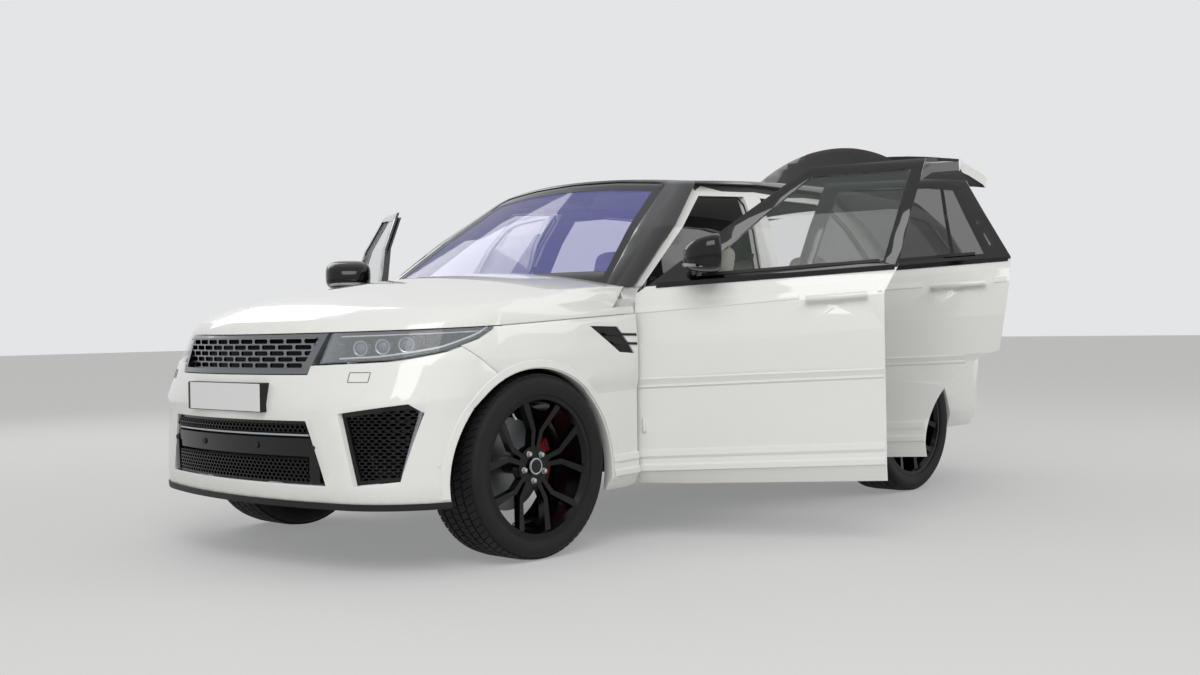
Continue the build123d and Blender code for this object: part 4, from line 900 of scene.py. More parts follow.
class SUV_OT_headlamps(bpy.types.Operator):
    """Fills the headlamps with their bezel, light guides and lens modules"""
    bl_idname = "suv.headlamps"
    bl_label = "Add the headlamps' insides"

    def execute(self, context):
        deep = nose_contour(0.90, 0.085, 0.535, 0.262, 34)
        rings = []
        for p in deep:
            low = along(LAMP_LOW, p.x + 0.04) + 0.012
            high = max(along(BONNET_EDGE, p.x + 0.04) - 0.012, low + 0.002)
            rings.append([(p.x, p.y, low), (p.x, p.y, high), (p.x - 0.004, p.y - 0.004, high),
                          (p.x - 0.004, p.y - 0.004, low)])
        add_piece("lamp_bezels", "body", Shape().rings(rings).both(), "gloss")
        rings = []
        for p, q in zip(nose_contour(0.90, 0.018, 0.535, 0.262, 34), deep):
            low = along(LAMP_LOW, p.x) + 0.010
            lift = 0.018 + 0.010 * min(1.0, max(0.0, (p.x - 0.25) / 0.4))
            rings.append([(p.x, p.y, low), (p.x, p.y, low + 0.002), (q.x, q.y, low + lift),
                          (q.x, q.y, low + lift - 0.003)])
        add_piece("lamp_lower_bezels", "body", Shape().rings(rings).both(), "gloss")
        guide = Shape()
        lower = nose_contour(0.90, 0.024, 0.56, 0.30, 30)
        guide.tube([(p.x, p.y, along(LAMP_LOW, p.x) + 0.017) for p in lower], 0.0042, 8)
        upper = nose_contour(0.93, 0.034, 0.55, 0.36, 30)
        guide.tube([(p.x, p.y, along(BONNET_EDGE, p.x) - 0.020) for p in upper], 0.0028, 8)
        add_piece("lamp_light_guides", "body", guide.both(), "diffuser")
        self.modules()
        return {"FINISHED"}

    def modules(self):
        """Three lens modules a side, each with a silver frame and a clear lens."""
        frames, lenses, hoods = Shape(), Shape(), Shape()
        spots = nose_contour(0.90, 0.058, 0.535, 0.262, 60)
        for index, height in ((9, 0.893), (18, 0.898), (27, 0.905)):
            p = spots[index]
            ahead = (spots[index + 1] - spots[index - 1]).normalized()
            face = Vector((ahead.y, -ahead.x, 0))
            turn = face.to_track_quat("X", "Z").to_matrix().to_4x4()
            turn = Matrix.Translation((p.x, p.y, height)) @ turn
            section = [(0.026, 0.012), (0.031, 0.014), (0.033, 0.010), (0.033, -0.020), (0.026, -0.020)]
            frames.join(Shape().lathe(section, (0, 0, 0), 28, "x", True).turned(turn))
            section = [(0.0, 0.016), (0.010, 0.0145), (0.018, 0.010), (0.0255, 0.002), (0.0255, -0.006)]
            lenses.join(Shape().lathe(section, (0, 0, 0), 28, "x").turned(turn))
            hood = Shape().block((-0.030, -0.040, 0.034), (0.016, 0.040, 0.038))
            hood.block((-0.030, -0.040, -0.038), (0.016, 0.040, -0.034))
            hoods.join(hood.turned(turn))
        add_piece("lamp_module_frames", "body", frames.both(), "silver", sharp=25)
        add_piece("lamp_module_lenses", "body", lenses.both(), "lens", sharp=40)
        add_piece("lamp_module_hoods", "body", hoods.both(), "trim", bevel=0.001)


# Middles of the wheel arches
FRONT_ARCH_X = 0.015
REAR_ARCH_X = -2.908
ARCH_Z = 0.345
DOOR_SPANS = {"front": (-0.612, -1.700), "rear": (-1.718, -2.815)}
HANDLE_SPANS = [(-1.345, -1.668), (-2.428, -2.745)]
# Side view lines of the sills and doors: (place, height) from front to rear
CREASE = [(-0.60, 1.021), (-1.70, 1.095), (-2.82, 1.146), (-3.55, 1.178)]
BAND_TOP = [(0.0, 0.705), (-0.61, 0.727), (-1.70, 0.765), (-2.70, 0.800)]
BAND_FOOT = [(0.0, 0.672), (-0.61, 0.685), (-1.70, 0.726), (-2.70, 0.762)]
SILL_TOP = [(-0.30, 0.396), (-0.61, 0.408), (-1.70, 0.451), (-2.60, 0.484)]
SILL_MID = [(-0.30, 0.326), (-0.61, 0.336), (-1.70, 0.377), (-2.60, 0.408)]
FRONT_OPENING = [(-0.712, 0.430), (-0.712, 1.120), (-1.395, 1.606), (-1.772, 1.622), (-1.660, 1.180),
                 (-1.622, 1.060), (-1.622, 0.430)]
REAR_OPENING = [(-1.778, 0.430), (-1.778, 1.060), (-1.802, 1.180), (-1.908, 1.622), (-2.390, 1.616),
                (-2.530, 1.596), (-2.700, 1.290), (-2.700, 1.120), (-2.600, 0.900), (-2.440, 0.720),
                (-2.380, 0.560), (-2.370, 0.430)]


# The mirror housing from the glass to its front: place, middle, width and height
MIRROR_SECTIONS = [
    (-0.934, 1.087, 1.275, 0.205, 0.120), (-0.942, 1.087, 1.275, 0.212, 0.128),
    (-0.940, 1.087, 1.275, 0.232, 0.148), (-0.934, 1.087, 1.275, 0.248, 0.164),
    (-0.915, 1.087, 1.273, 0.252, 0.166), (-0.890, 1.086, 1.270, 0.244, 0.158),
    (-0.870, 1.085, 1.267, 0.226, 0.145), (-0.852, 1.083, 1.263, 0.200, 0.125),
    (-0.838, 1.081, 1.260, 0.158, 0.096), (-0.831, 1.080, 1.259, 0.110, 0.062),
    (-0.829, 1.080, 1.259, 0.040, 0.020),
]
# How much deeper the housing is drawn than its sections
MIRROR_DEEPER = 1.42
# Raised forms along the side, from the top down: the line they follow, offset from it, and height
# The stepped and ribbed form of the painted sill
SILL_FORM = [(SILL_TOP, 0.002, -0.003), (SILL_TOP, -0.006, 0.008), (SILL_TOP, -0.030, 0.010),
             (SILL_MID, 0.030, 0.003), (SILL_MID, 0.010, 0.004), (SILL_MID, 0.000, 0.010),
             (SILL_MID, -0.022, 0.009), (SILL_MID, -0.030, -0.003)]
# The double moulding across the doors
BAND_FORM = [(BAND_TOP, 0.006, -0.002), (BAND_TOP, -0.004, 0.0055), (BAND_TOP, -0.012, 0.0035),
             (BAND_FOOT, 0.012, 0.0025), (BAND_FOOT, 0.002, 0.0060), (BAND_FOOT, -0.008, -0.002)]
# The crease at shoulder height: a soft rise above, a sharp drop below
CREASE_FORM = [(CREASE, 0.040, -0.0015), (CREASE, 0.016, 0.0012), (CREASE, 0.002, 0.0045),
               (CREASE, -0.003, 0.0035), (CREASE, -0.007, -0.0015)]


def side_form(skin, columns, profile):
    """A raised form along the left side, broken where a handle or a gap is."""
    shape, rings = Shape(), []
    for x in columns:
        ring, missed = [], False
        for line, offset, out in profile:
            z = along(line, x) + offset
            place = skin.hit((x, 1.6, z), (0, -1, 0))
            at_handle = z > 1.0 and any(a > x > b for a, b in HANDLE_SPANS)
            missed = missed or place is None or place.y < 0.80 or at_handle
            ring.append((x, (place.y if place else 0) + out, z))
        if not missed:
            rings.append(ring)
        elif rings:
            shape.rings(rings)
            rings = []
    return shape.rings(rings) if len(rings) > 1 else shape


def on_doors(name, build, finish, sharp=32.0, bevel=0.0):
    """Makes one piece for each door, the right ones as mirror images."""
    for place in ("front", "rear"):
        shape = build(place)
        if shape.points:
            add_pair(f"{name}_{place}", f"{place}_door", shape, finish, sharp, bevel)


class SUV_OT_sides(bpy.types.Operator):
    """Adds the creases, mouldings, sills, belt strips, seals and mirror details along the sides"""
    bl_idname = "suv.sides"
    bl_label = "Add the side pieces"

    def execute(self, context):
        doors = {"front": Skin("front_door_left"), "rear": Skin("rear_door_left")}

        def reach(place):
            first, last = DOOR_SPANS[place]
            return row(first - 0.002, last + 0.002, 56)

        for name, form in (("crease", CREASE_FORM), ("moulding", BAND_FORM), ("sill_form", SILL_FORM)):
            on_doors(name, lambda p: side_form(doors[p], reach(p), form), "paint", 20)
        on_doors("belt_strip", self.belt_strip, "gloss", bevel=0.002)
        on_doors("glass_seal", self.glass_seal, "trim", bevel=0.001)
        self.fixed()
        self.seals()
        self.mirrors()
        self.rear_door_glass()
        return {"FINISHED"}

    def belt_strip(self, place):
        """The strip under the side window, outside."""
        skin = Skin(f"{place}_door_left")
        first, last = (-0.700, -1.748) if place == "front" else (-1.780, DOOR_SPANS["rear"][1])
        columns = row(first, last, 40)
        lower = [skin.side(x, belt(x) - 0.010, 0.004, 0.95) for x in columns]
        upper = [(x, low.y - 0.001, belt(x) + 0.013) for x, low in zip(columns, lower)]
        return Shape().strip(lower, upper, (0, -0.030, 0))

    def glass_seal(self, place):
        """The rubber at the foot of the side window, outside."""
        skin = Skin(f"{place}_glass_left")
        first, last, rise = (-0.905, -1.685, 0.028) if place == "front" else (-1.860, -2.660, 0.034)
        lower = [skin.side(x, belt(x) + rise, 0.003, 0.93) for x in row(first, last, 24)]
        upper = [p + Vector((0, -0.004, 0.014)) for p in lower]
        return Shape().strip(lower, upper, (0, -0.006, 0))

    def fixed(self):
        """The same lines on the wings and quarter panels, with the wheel arch lips."""
        wing = Skin("front_wings", "front_bumper")
        quarter = Skin("quarter_panels", "rear_bumper")
        for name, skin, centre, foot in (("front_arch_lips", wing, FRONT_ARCH_X, 186),
                                         ("rear_arch_lips", quarter, REAR_ARCH_X, 150)):
            rings = []
            for angle in row(-8, foot, 90):
                t = math.radians(angle)
                ring, missed = [], False
                for r, out in ((0.454, -0.002), (0.456, 0.006), (0.484, 0.005), (0.488, -0.002)):
                    x, z = centre + r * math.cos(t), ARCH_Z + r * math.sin(t)
                    place = skin.hit((x, 1.6, z), (0, -1, 0))
                    missed = missed or place is None or place.y < 0.85
                    ring.append((x, (place.y if place else 0) + out, z))
                if not missed:
                    rings.append(ring)
            add_piece(name, "body", Shape().rings(rings).both(), "paint", sharp=25)
        crease = side_form(quarter, row(-2.828, -3.50, 40), CREASE_FORM)
        add_piece("quarter_creases", "body", crease.both(), "paint", 20)
        sill = side_form(wing, row(-0.335, -0.600, 16), SILL_FORM)
        if sill.points:
            add_piece("wing_sills", "body", sill.both(), "paint", 20)

    def seals(self):
        """Rubber seals round the door openings, on the painted shell."""
        skin = Skin("body_shell")
        rubber = Shape()
        for outline in (FRONT_OPENING, REAR_OPENING):
            middle = (sum(p[0] for p in outline) / len(outline), sum(p[1] for p in outline) / len(outline))
            path = []
            for x, z in walk(outline, 12, 1):
                away = Vector((x - middle[0], z - middle[1])).normalized()
                place = skin.hit((x + away.x * 0.012, 1.6, z + away.y * 0.012), (0, -1, 0))
                if place is not None and place.y > 0.6:
                    path.append((x - away.x * 0.0055, place.y - 0.010, z - away.y * 0.0055))
            rubber.tube(path, 0.0044, 8, True)
        add_piece("opening_seals", "body", rubber.both(), "trim", sharp=50)

    def mirrors(self):
        """Each door mirror's housing with its foot, its glass and its pale strip."""
        plate = leaning(0.990, 1.184, (-0.9405, 1.222), (-0.9405, 1.328), (0.004, 0, 0))
        skin = Skin("mirror_left")
        rings = []
        for i in range(24):
            y = 0.985 + 0.205 * i / 23
            z = 1.222 - 0.006 * max(0.0, (y - 1.15) / 0.05)
            low = skin.front(y, z - 0.007, 0.0045, -0.86)
            high = skin.front(y, z + 0.006, 0.0045, -0.86)
            rings.append([low, high] + around(high, (-0.014, 0, 0)) + around(low, (-0.014, 0, 0)))
        bar = Shape().rings(rings)
        rings = []
        for x, y, z, width, height in MIRROR_SECTIONS:
            ring = []
            for t in steps(40):
                cy = math.copysign(abs(math.cos(t)) ** 0.55, math.cos(t))
                cz = math.copysign(abs(math.sin(t)) ** 0.62, math.sin(t))
                ring.append((x, y + width / 2 * cy, z + height / 2 * cz))
            rings.append(ring)
        head = Shape().rings(rings)
        pivot = Matrix.Translation((-0.895, 1.087, 0.0))
        turn = pivot @ Matrix.Rotation(math.radians(14), 4, "Z") @ pivot.inverted()
        front, deeper = Matrix.Translation((-0.857, 0, 0)), Matrix.Scale(MIRROR_DEEPER, 4, (1, 0, 0))
        turn = turn @ front @ deeper @ Matrix.Translation((0.829, 0, 0))
        for part in (head, bar, plate):
            part.turned(turn)
        head.join(Shape().tube([(-0.850, 0.905, 1.180), (-0.872, 0.962, 1.194), (-0.890, 1.010, 1.208),
                                (-0.895, 1.050, 1.232)], 0.021, 16))
        for side, housing in zip(SIDES, add_pair("mirror_housing", "front_door", head, "gloss", 50)):
            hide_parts(f"mirror_{side}")
        add_pair("mirror_glass", "front_door", plate, "mirror", bevel=0.0015)
        add_pair("mirror_strip", "front_door", bar, "silver", bevel=0.0015)

    def rear_door_glass(self):
        """The divider near the rear end of each rear door's window."""
        skin = Skin("rear_glass_left")
        rings = []
        for low, high in (((-2.545, 1.275), (-2.470, 1.618)), ((-2.562, 1.275), (-2.487, 1.618))):
            ring = [skin.side(x, z, 0.001, 0.90 - (z - 1.2) * 0.35)
                    for x, z in zip(row(low[0], high[0], 9), row(low[1], high[1], 9))]
            rings.append(ring + [p + Vector((0, -0.004, 0)) for p in reversed(ring)])
        add_pair("window_divider", "rear_door", Shape().rings(rings), "gloss")


# Distance of the printed band from the windscreen's edge
EDGE_GAP = 0.002


class SUV_OT_screens(bpy.types.Operator):
    """Adds the dark bands of the windscreen, the wipers and the sensor block behind it"""
    bl_idname = "suv.screens"
    bl_label = "Add the windscreen's pieces"

    def execute(self, context):
        skin = Skin("fixed_glass")
        half = [(0.0, 1.140), (0.835, 1.140), (0.600, 1.655), (0.560, 1.676), (0.300, 1.697), (0.0, 1.704)]
        rings = []
        for y, z in [*walk(half, 12, closed=False), half[-1]]:
            width = 0.075 if z < 1.16 else 0.042
            toward = Vector((0.0 - y, 1.42 - z)).normalized()
            if z < 1.16 and y < 0.80:
                toward = Vector((0, 1))
            if z > 1.66:
                toward = Vector((0, -1))
            ring = []
            for reach in (EDGE_GAP, EDGE_GAP + width * 0.5, EDGE_GAP + width):
                ring.append(skin.front(y + toward.x * reach, z + toward.y * reach, 0.0014, -0.9))
            rings.append(ring + [p + Vector((-0.0012, 0, 0)) for p in reversed(ring)])
        add_piece("windscreen_band", "body", Shape().rings(rings).both(), "gloss", sharp=40)
        self.wipers(skin)
        block = Shape().slab([(-1.245, -0.085, 1.690), (-1.245, 0.085, 1.690), (-1.215, 0.055, 1.612),
                              (-1.215, -0.055, 1.612)], (-0.085, 0, -0.012))
        add_piece("sensor_block", "body", block, "trim", bevel=0.012)
        stalk = Shape().tube([(-1.30, 0, 1.625), (-1.315, 0, 1.590), (-1.325, 0, 1.562)], 0.010, 10)
        add_piece("inner_mirror_stalk", "body", stalk, "trim", sharp=50)
        head = Shape().slab([(-1.330, -0.125, 1.520), (-1.330, 0.125, 1.520), (-1.330, 0.135, 1.575),
                             (-1.330, -0.135, 1.575)], (0.030, 0, 0.004))
        add_piece("inner_mirror", "body", head, "gloss", bevel=0.012)
        return {"FINISHED"}

    def wipers(self, skin):
        """Two wiper arms with their blades, parked at the foot of the windscreen."""
        rows = ((0.66, 0.02, 1.158, 1.192), (-0.02, -0.66, 1.150, 1.184))
        for index, (y0, y1, z0, z1) in enumerate(rows):
            arm, blade = Shape(), Shape()
            path = []
            for i in range(14):
                t = i / 13
                y, z = y0 + (y1 - y0) * t, z0 + (z1 - z0) * t
                path.append(skin.front(y, z, 0.038 - 0.012 * t, -0.5))
            section = [(-0.011, -0.004), (0.011, -0.004), (0.009, 0.005), (-0.009, 0.005)]
            arm.sweep(path[:9], section, (0, 0, 1))
            arm.lathe([(0.0, 0.030), (0.016, 0.026), (0.018, 0.010), (0.018, -0.03), (0.0, -0.03)],
                      skin.front(y0, z0, 0.040, -0.5) - Vector((0.02, 0, 0.02)), 20, "x")
            near = []
            for i in range(16):
                y, z = y0 + (y1 - y0) * (0.18 + 0.82 * i / 15), z0 + (z1 - z0) * i / 15 + 0.006
                near.append(skin.front(y, z, 0.012, -0.5))
            section = [(-0.007, -0.008), (0.007, -0.008), (0.003, 0.008), (-0.003, 0.008)]
            blade.sweep(near, section, (0, 0, 1))
            blade.join(Shape().tube([path[8], (path[8] + near[9]) / 2, near[9]], 0.006, 8))
            add_piece(f"wiper_arm_{index + 1}", "body", arm, "trim", bevel=0.001)
            add_piece(f"wiper_blade_{index + 1}", "body", blade, "rubber", bevel=0.0008)


TYRE_OUTER = 0.388
# Half of the tyre's section from the tread's middle to the bead: radius, and offset from its middle plane
TYRE_PROFILE = [
    (0.3795, 0.0), (0.3795, 0.030), (0.3792, 0.060), (0.3785, 0.090), (0.377, 0.112), (0.3745, 0.124),
    (0.370, 0.134), (0.363, 0.1405), (0.352, 0.1445), (0.340, 0.1450), (0.328, 0.1438), (0.316, 0.1405),
    (0.3065, 0.1370), (0.3055, 0.1380), (0.3015, 0.1376), (0.3005, 0.1340), (0.296, 0.1290),
    (0.290, 0.1220), (0.2815, 0.1140),
]
# Ribs of the tread: near edge, far edge and slant of the gaps
TREAD_RIBS = [(-0.122, -0.080, 0.020), (-0.070, -0.030, 0.014), (-0.020, 0.020, -0.012),
              (0.030, 0.070, 0.014), (0.080, 0.122, 0.020)]
NUT_COUNT = 5
NUT_CIRCLE = 0.060
NUT_RADIUS = 0.0105
SIDEWALL_RIBS = 180


def tread(shape, centre, pitches):
    """Adds the tread's blocks round a tyre, with slanting gaps between them."""
    for near, far, slant in TREAD_RIBS:
        for k in range(pitches):
            t0, t1 = math.tau * (k + 0.07) / pitches, math.tau * (k + 0.93) / pitches
            skew = slant / TYRE_OUTER
            rings = []
            for y, lean in ((near, 0.0), (far, skew)):
                drop = max(0.0, abs(y) - 0.085) ** 2 * 3.2
                ring = []
                for t, r in ((t0, 0.3770), (t1, 0.3770), (t1, TYRE_OUTER), (t0, TYRE_OUTER)):
                    radius = r - (drop if r == TYRE_OUTER else drop * 0.4)
                    turn = t + lean
                    ring.append(centre + Vector((radius * math.cos(turn), y, radius * math.sin(turn))))
                rings.append(ring)
            shape.rings(rings)


class SUV_OT_wheels(bpy.types.Operator):
    """Adds the tyres with tread, the wheel nuts, caps and valves, and the front calipers' bolts"""
    bl_idname = "suv.wheels"
    bl_label = "Add the wheels' fine pieces"

    def execute(self, context):
        pitches = context.scene.suv_sizes.tread_pitches
        for place, x in (("front", 0.0), ("rear", -WHEELBASE)):
            tyre, ribs, nuts, ring, cap = Shape(), Shape(), Shape(), Shape(), Shape()
            centre = Vector((x, WHEEL_Y, HUB_Z))
            profile = TYRE_PROFILE[::-1] + [(r, -y) for r, y in TYRE_PROFILE[1:]]
            tyre.lathe(profile, centre, 112, "y", True)
            tread(ribs, centre, pitches)
            self.sidewall(ribs, centre)
            for k in range(NUT_COUNT):
                t = math.radians(60 + 360 // NUT_COUNT * k)
                self.nut(nuts, centre + Vector((NUT_CIRCLE * math.cos(t), 0.091, NUT_CIRCLE * math.sin(t))))
            ring.lathe([(0.0290, 0.103), (0.0285, 0.1065), (0.0315, 0.1080), (0.0345, 0.1060),
                        (0.0350, 0.1000)], centre, 40)
            cap.lathe([(0.0, 0.1068), (0.020, 0.1062), (0.0288, 0.1050), (0.0288, 0.1010)], centre, 40)
            self.valve(nuts, centre)
            for name, shape, finish, sharp in (
                    ("tyre_carcass", tyre, "rubber", 30), ("tread", ribs, "rubber", 25),
                    ("nuts", nuts, "silver", 35), ("cap_ring", ring, "silver", 40),
                    ("cap", cap, "gloss", 40)):
                pieces = add_pair(f"{name}_{place}", f"wheel_{place}", shape, finish, sharp)
                if name == "tyre_carcass":
                    for side, piece in zip(SIDES, pieces):
                        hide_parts(f"tyre_{place}_{side}")
        self.caliper_bolts()
        return {"FINISHED"}

    def sidewall(self, shape, centre):
        """Fine radial ribs in a band of the sidewall, the mould's only mark."""
        for sign in (1, -1):
            for t in steps(SIDEWALL_RIBS):
                along = Vector((math.cos(t), 0, math.sin(t)))
                side = Vector((-math.sin(t), 0, math.cos(t))) * 0.0011
                rings = []
                for r, y in ((0.346, 0.1446), (0.357, 0.1422)):
                    p = centre + along * r + Vector((0, sign * y, 0))
                    lift = Vector((0, sign * 0.0010, 0))
                    rings.append([p - side - lift, p + side - lift, p + side + lift, p - side + lift])
                shape.rings(rings)

    def nut(self, shape, place):
        """A hexagon wheel nut with a collar and a domed end."""
        hexagon = [(NUT_RADIUS * math.cos(t), NUT_RADIUS * math.sin(t)) for t in steps(6)]
        rings = []
        for scale, y in ((1.25, 0.0), (1.25, 0.003), (1.0, 0.004), (1.0, 0.012), (0.86, 0.0145),
                         (0.45, 0.0160)):
            rings.append([place + Vector((a * scale, y, b * scale)) for a, b in hexagon])
        shape.rings(rings)

    def valve(self, shape, centre):
        """The tyre's valve, between two pairs of spokes."""
        t = math.radians(60)
        out = Vector((math.cos(t), 0, math.sin(t)))
        start = centre + out * 0.262 + Vector((0, 0.108, 0))
        shape.tube([start, start - out * 0.012, start - out * 0.030 + Vector((0, 0.006, 0))], 0.0042, 10)

    def caliper_bolts(self):
        """Three bolt heads on each front caliper."""
        bolts = Shape()
        for t in (math.radians(160), math.radians(180), math.radians(200)):
            p = Vector((0.205 * math.cos(t), 0.812, HUB_Z + 0.205 * math.sin(t)))
            bolts.lathe([(0.0, 0.006), (0.010, 0.005), (0.012, 0.0), (0.012, -0.010)], p, 16)
        add_pair("caliper_pins", "knuckle", bolts, "steel", 35)


# Depth and width of the sewn channels along a pad and across it
SEAM_DEPTH, SEAM_WIDTH = 0.10, 0.035
CROSS_DEPTH, CROSS_WIDTH = 0.09, 0.03


def cushion(size, place, tilt=0.0, square=4.5, crown=0.0, pinch=0.03, seams=(), across=(), count=26):
    """A stuffed pad: a crowned closed form whose sides pull in between its corners, with sewn channels.

    seams are channels along the pad at parts of its half width, across are channels over it at parts
    of its half length; size and place are (length or thickness, width, height)."""
    a, b, c = [s / 2 for s in size]
    flat = 0 if a <= c else 2
    shape = Shape()
    for axis in range(3):
        for sign in (1, -1):
            rings = []
            for i in range(count + 1):
                ring = []
                for j in range(count + 1):
                    p = [0.0, 0.0, 0.0]
                    p[axis] = sign
                    p[(axis + 1) % 3] = -1 + 2 * i / count
                    p[(axis + 2) % 3] = -1 + 2 * j / count
                    for k in range(3):
                        p[k] = math.copysign(abs(p[k]) ** 0.8, p[k])
                    norm = sum(abs(v) ** square for v in p) ** (1 / square)
                    u, v, w = [value / norm for value in p]
                    along = w if flat == 0 else u
                    swell = 1 + crown * (1 - v * v) * (1 - along * along)
                    wide = 1 - pinch * (1 - along * along)
                    dent = 0.0
                    for mark in seams:
                        dent += SEAM_DEPTH * math.exp(-((v - mark) / SEAM_WIDTH) ** 2)
                    for mark in across:
                        dent += CROSS_DEPTH * math.exp(-((along - mark) / CROSS_WIDTH) ** 2)
                    swell -= dent
                    if flat == 0:
                        ring.append((a * u * swell, b * v * wide, c * w))
                    else:
                        ring.append((a * u, b * v * wide, c * w * swell))
                rings.append(ring)
            faces = []
            n = count + 1
            for i in range(count):
                for j in range(count):
                    quad = (i * n + j, i * n + j + 1, (i + 1) * n + j + 1, (i + 1) * n + j)
                    faces.append(quad if sign > 0 else quad[::-1])
            shape.add([p for ring in rings for p in ring], faces)
    turn = Matrix.Translation(place) @ Matrix.Rotation(tilt, 4, "Y")
    return shape.turned(turn)


def bolsters(size, place, offset, tilt, crown, pinch):
    """The raised pads at both sides of a cushion or a back."""
    x, y, z = place
    shape = Shape()
    for sign in (1, -1):
        shape.join(cushion(size, (x, y + sign * offset, z), tilt, 3.2, crown, pinch, count=18))
    return shape


def headrest_posts(shape, y, foot, head):
    """Adds the two posts of a headrest between a foot and a head given as (x, z)."""
    for sign in (1, -1):
        shape.tube([(x, y + sign * 0.06, z) for x, z in (foot, head)], 0.0065, 10)


SEAT_PLACES = ((-1.450, 0.370), (-1.450, -0.370))


class SUV_OT_seats(bpy.types.Operator):
    """Makes the padded leather seats in place of the plain solids"""
    bl_idname = "suv.seats"
    bl_label = "Add the seats"

    def execute(self, context):
        first = None
        for index, (x, y) in enumerate(SEAT_PLACES):
            name = f"seat_{index + 1}"
            base = cushion((0.500, 0.330, 0.135), (x + 0.004, y, 0.612), math.radians(-3), 4.5, 0.10, 0.02,
                           (-0.36, 0.36), (-0.45, 0.1, 0.62))
            base_piece = add_piece(f"{name}_cushion", "body", base, "leather", 60)
            first = first or base_piece
            sides = bolsters((0.490, 0.112, 0.180), (x, y, 0.606), 0.196, math.radians(-3), 0.06, 0.04)
            add_piece(f"{name}_cushion_sides", "body", sides, "leather", 60)
            tilt = math.radians(-18)
            back = cushion((0.118, 0.300, 0.600), (x - 0.330, y, 0.880), tilt, 4.5, 0.16, 0.02,
                           (-0.42, 0.42), (-0.55, -0.15, 0.25, 0.62))
            add_piece(f"{name}_back", "body", back, "leather", 60)
            sides = bolsters((0.165, 0.105, 0.560), (x - 0.318, y, 0.868), 0.198, tilt, 0.05, 0.05)
            add_piece(f"{name}_back_sides", "body", sides, "leather", 60)
            shell = cushion((0.050, 0.470, 0.560), (x - 0.395, y, 0.872), tilt, 5.0, 0.1, 0.02, count=14)
            add_piece(f"{name}_back_shell", "body", shell, "dark_leather", 60)
            head = cushion((0.105, 0.265, 0.180), (x - 0.455, y, 1.300), math.radians(-14), 3.4, 0.18, 0.03,
                           (-0.62, 0.62), count=22)
            add_piece(f"{name}_headrest", "body", head, "leather", 60)
            posts = Shape()
            headrest_posts(posts, y, (x - 0.425, 1.14), (x - 0.455, 1.26))
            add_piece(f"{name}_posts", "body", posts, "silver", 50)
            frame_part = Shape().block((x - 0.215, y - 0.205, 0.460), (x + 0.215, y + 0.205, 0.545))
            for sign in (1, -1):
                frame_part.block((x - 0.26, y + sign * 0.18 - 0.018, 0.430),
                                 (x + 0.26, y + sign * 0.18 + 0.018, 0.462))
            add_piece(f"{name}_base", "body", frame_part, "trim", bevel=0.008)
            switch = Shape().block((x - 0.02, y + math.copysign(0.252, y) - 0.006, 0.545),
                                   (x + 0.16, y + math.copysign(0.252, y) + 0.006, 0.590))
            add_piece(f"{name}_switches", "body", switch, "gloss", bevel=0.003)
        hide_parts("seats")
        self.bench()
        return {"FINISHED"}

    def bench(self):
        """The rear bench: cushions, backs, rear panels and headrests in threes, base, posts and buckles."""
        tilt = math.radians(-20)
        for index, (y, width) in enumerate(((0.425, 0.44), (0.0, 0.38), (-0.425, 0.44))):
            base = cushion((0.495, width, 0.155), (-2.230, y, 0.640), math.radians(-4), 4.2, 0.10, 0.02,
                           (-0.4, 0.4), (-0.3, 0.4))
            add_piece(f"bench_cushion_{index + 1}", "body", base, "leather", 60)
            back = cushion((0.138, width * 0.93, 0.610), (-2.560, y * 0.93, 0.900), tilt, 4.2, 0.12, 0.02,
                           (-0.4, 0.4), (-0.5, 0.0, 0.5))
            add_piece(f"bench_back_{index + 1}", "body", back, "leather", 60)
            panel = cushion((0.030, width * 0.90, 0.590), (-2.622, y * 0.93, 0.877), tilt, 7.0, 0.02, 0.0,
                            count=24)
            add_piece(f"bench_panel_{index + 1}", "body", panel, "carpet", 60)
            head = cushion((0.092, 0.245, 0.150), (-2.710, y * 0.99, 1.270), math.radians(-14), 3.4, 0.15,
                           0.03, (-0.6, 0.6), count=18)
            add_piece(f"bench_headrest_{index + 1}", "body", head, "leather", 60)
        plinth = Shape().block((-2.445, -0.61, 0.432), (-2.015, 0.61, 0.572))
        add_piece("bench_base", "body", plinth, "trim", bevel=0.010)
        posts = Shape()
        for y in (-0.42, 0.0, 0.42):
            headrest_posts(posts, y, (-2.668, 1.15), (-2.702, 1.24))
        add_piece("bench_posts", "body", posts, "silver", 50)
        buckles = Shape()
        for y in (-0.22, -0.16, 0.22):
            buckles.block((-2.46, y - 0.014, 0.70), (-2.41, y + 0.014, 0.745))
        add_piece("bench_buckles", "body", buckles, "gloss", bevel=0.004)


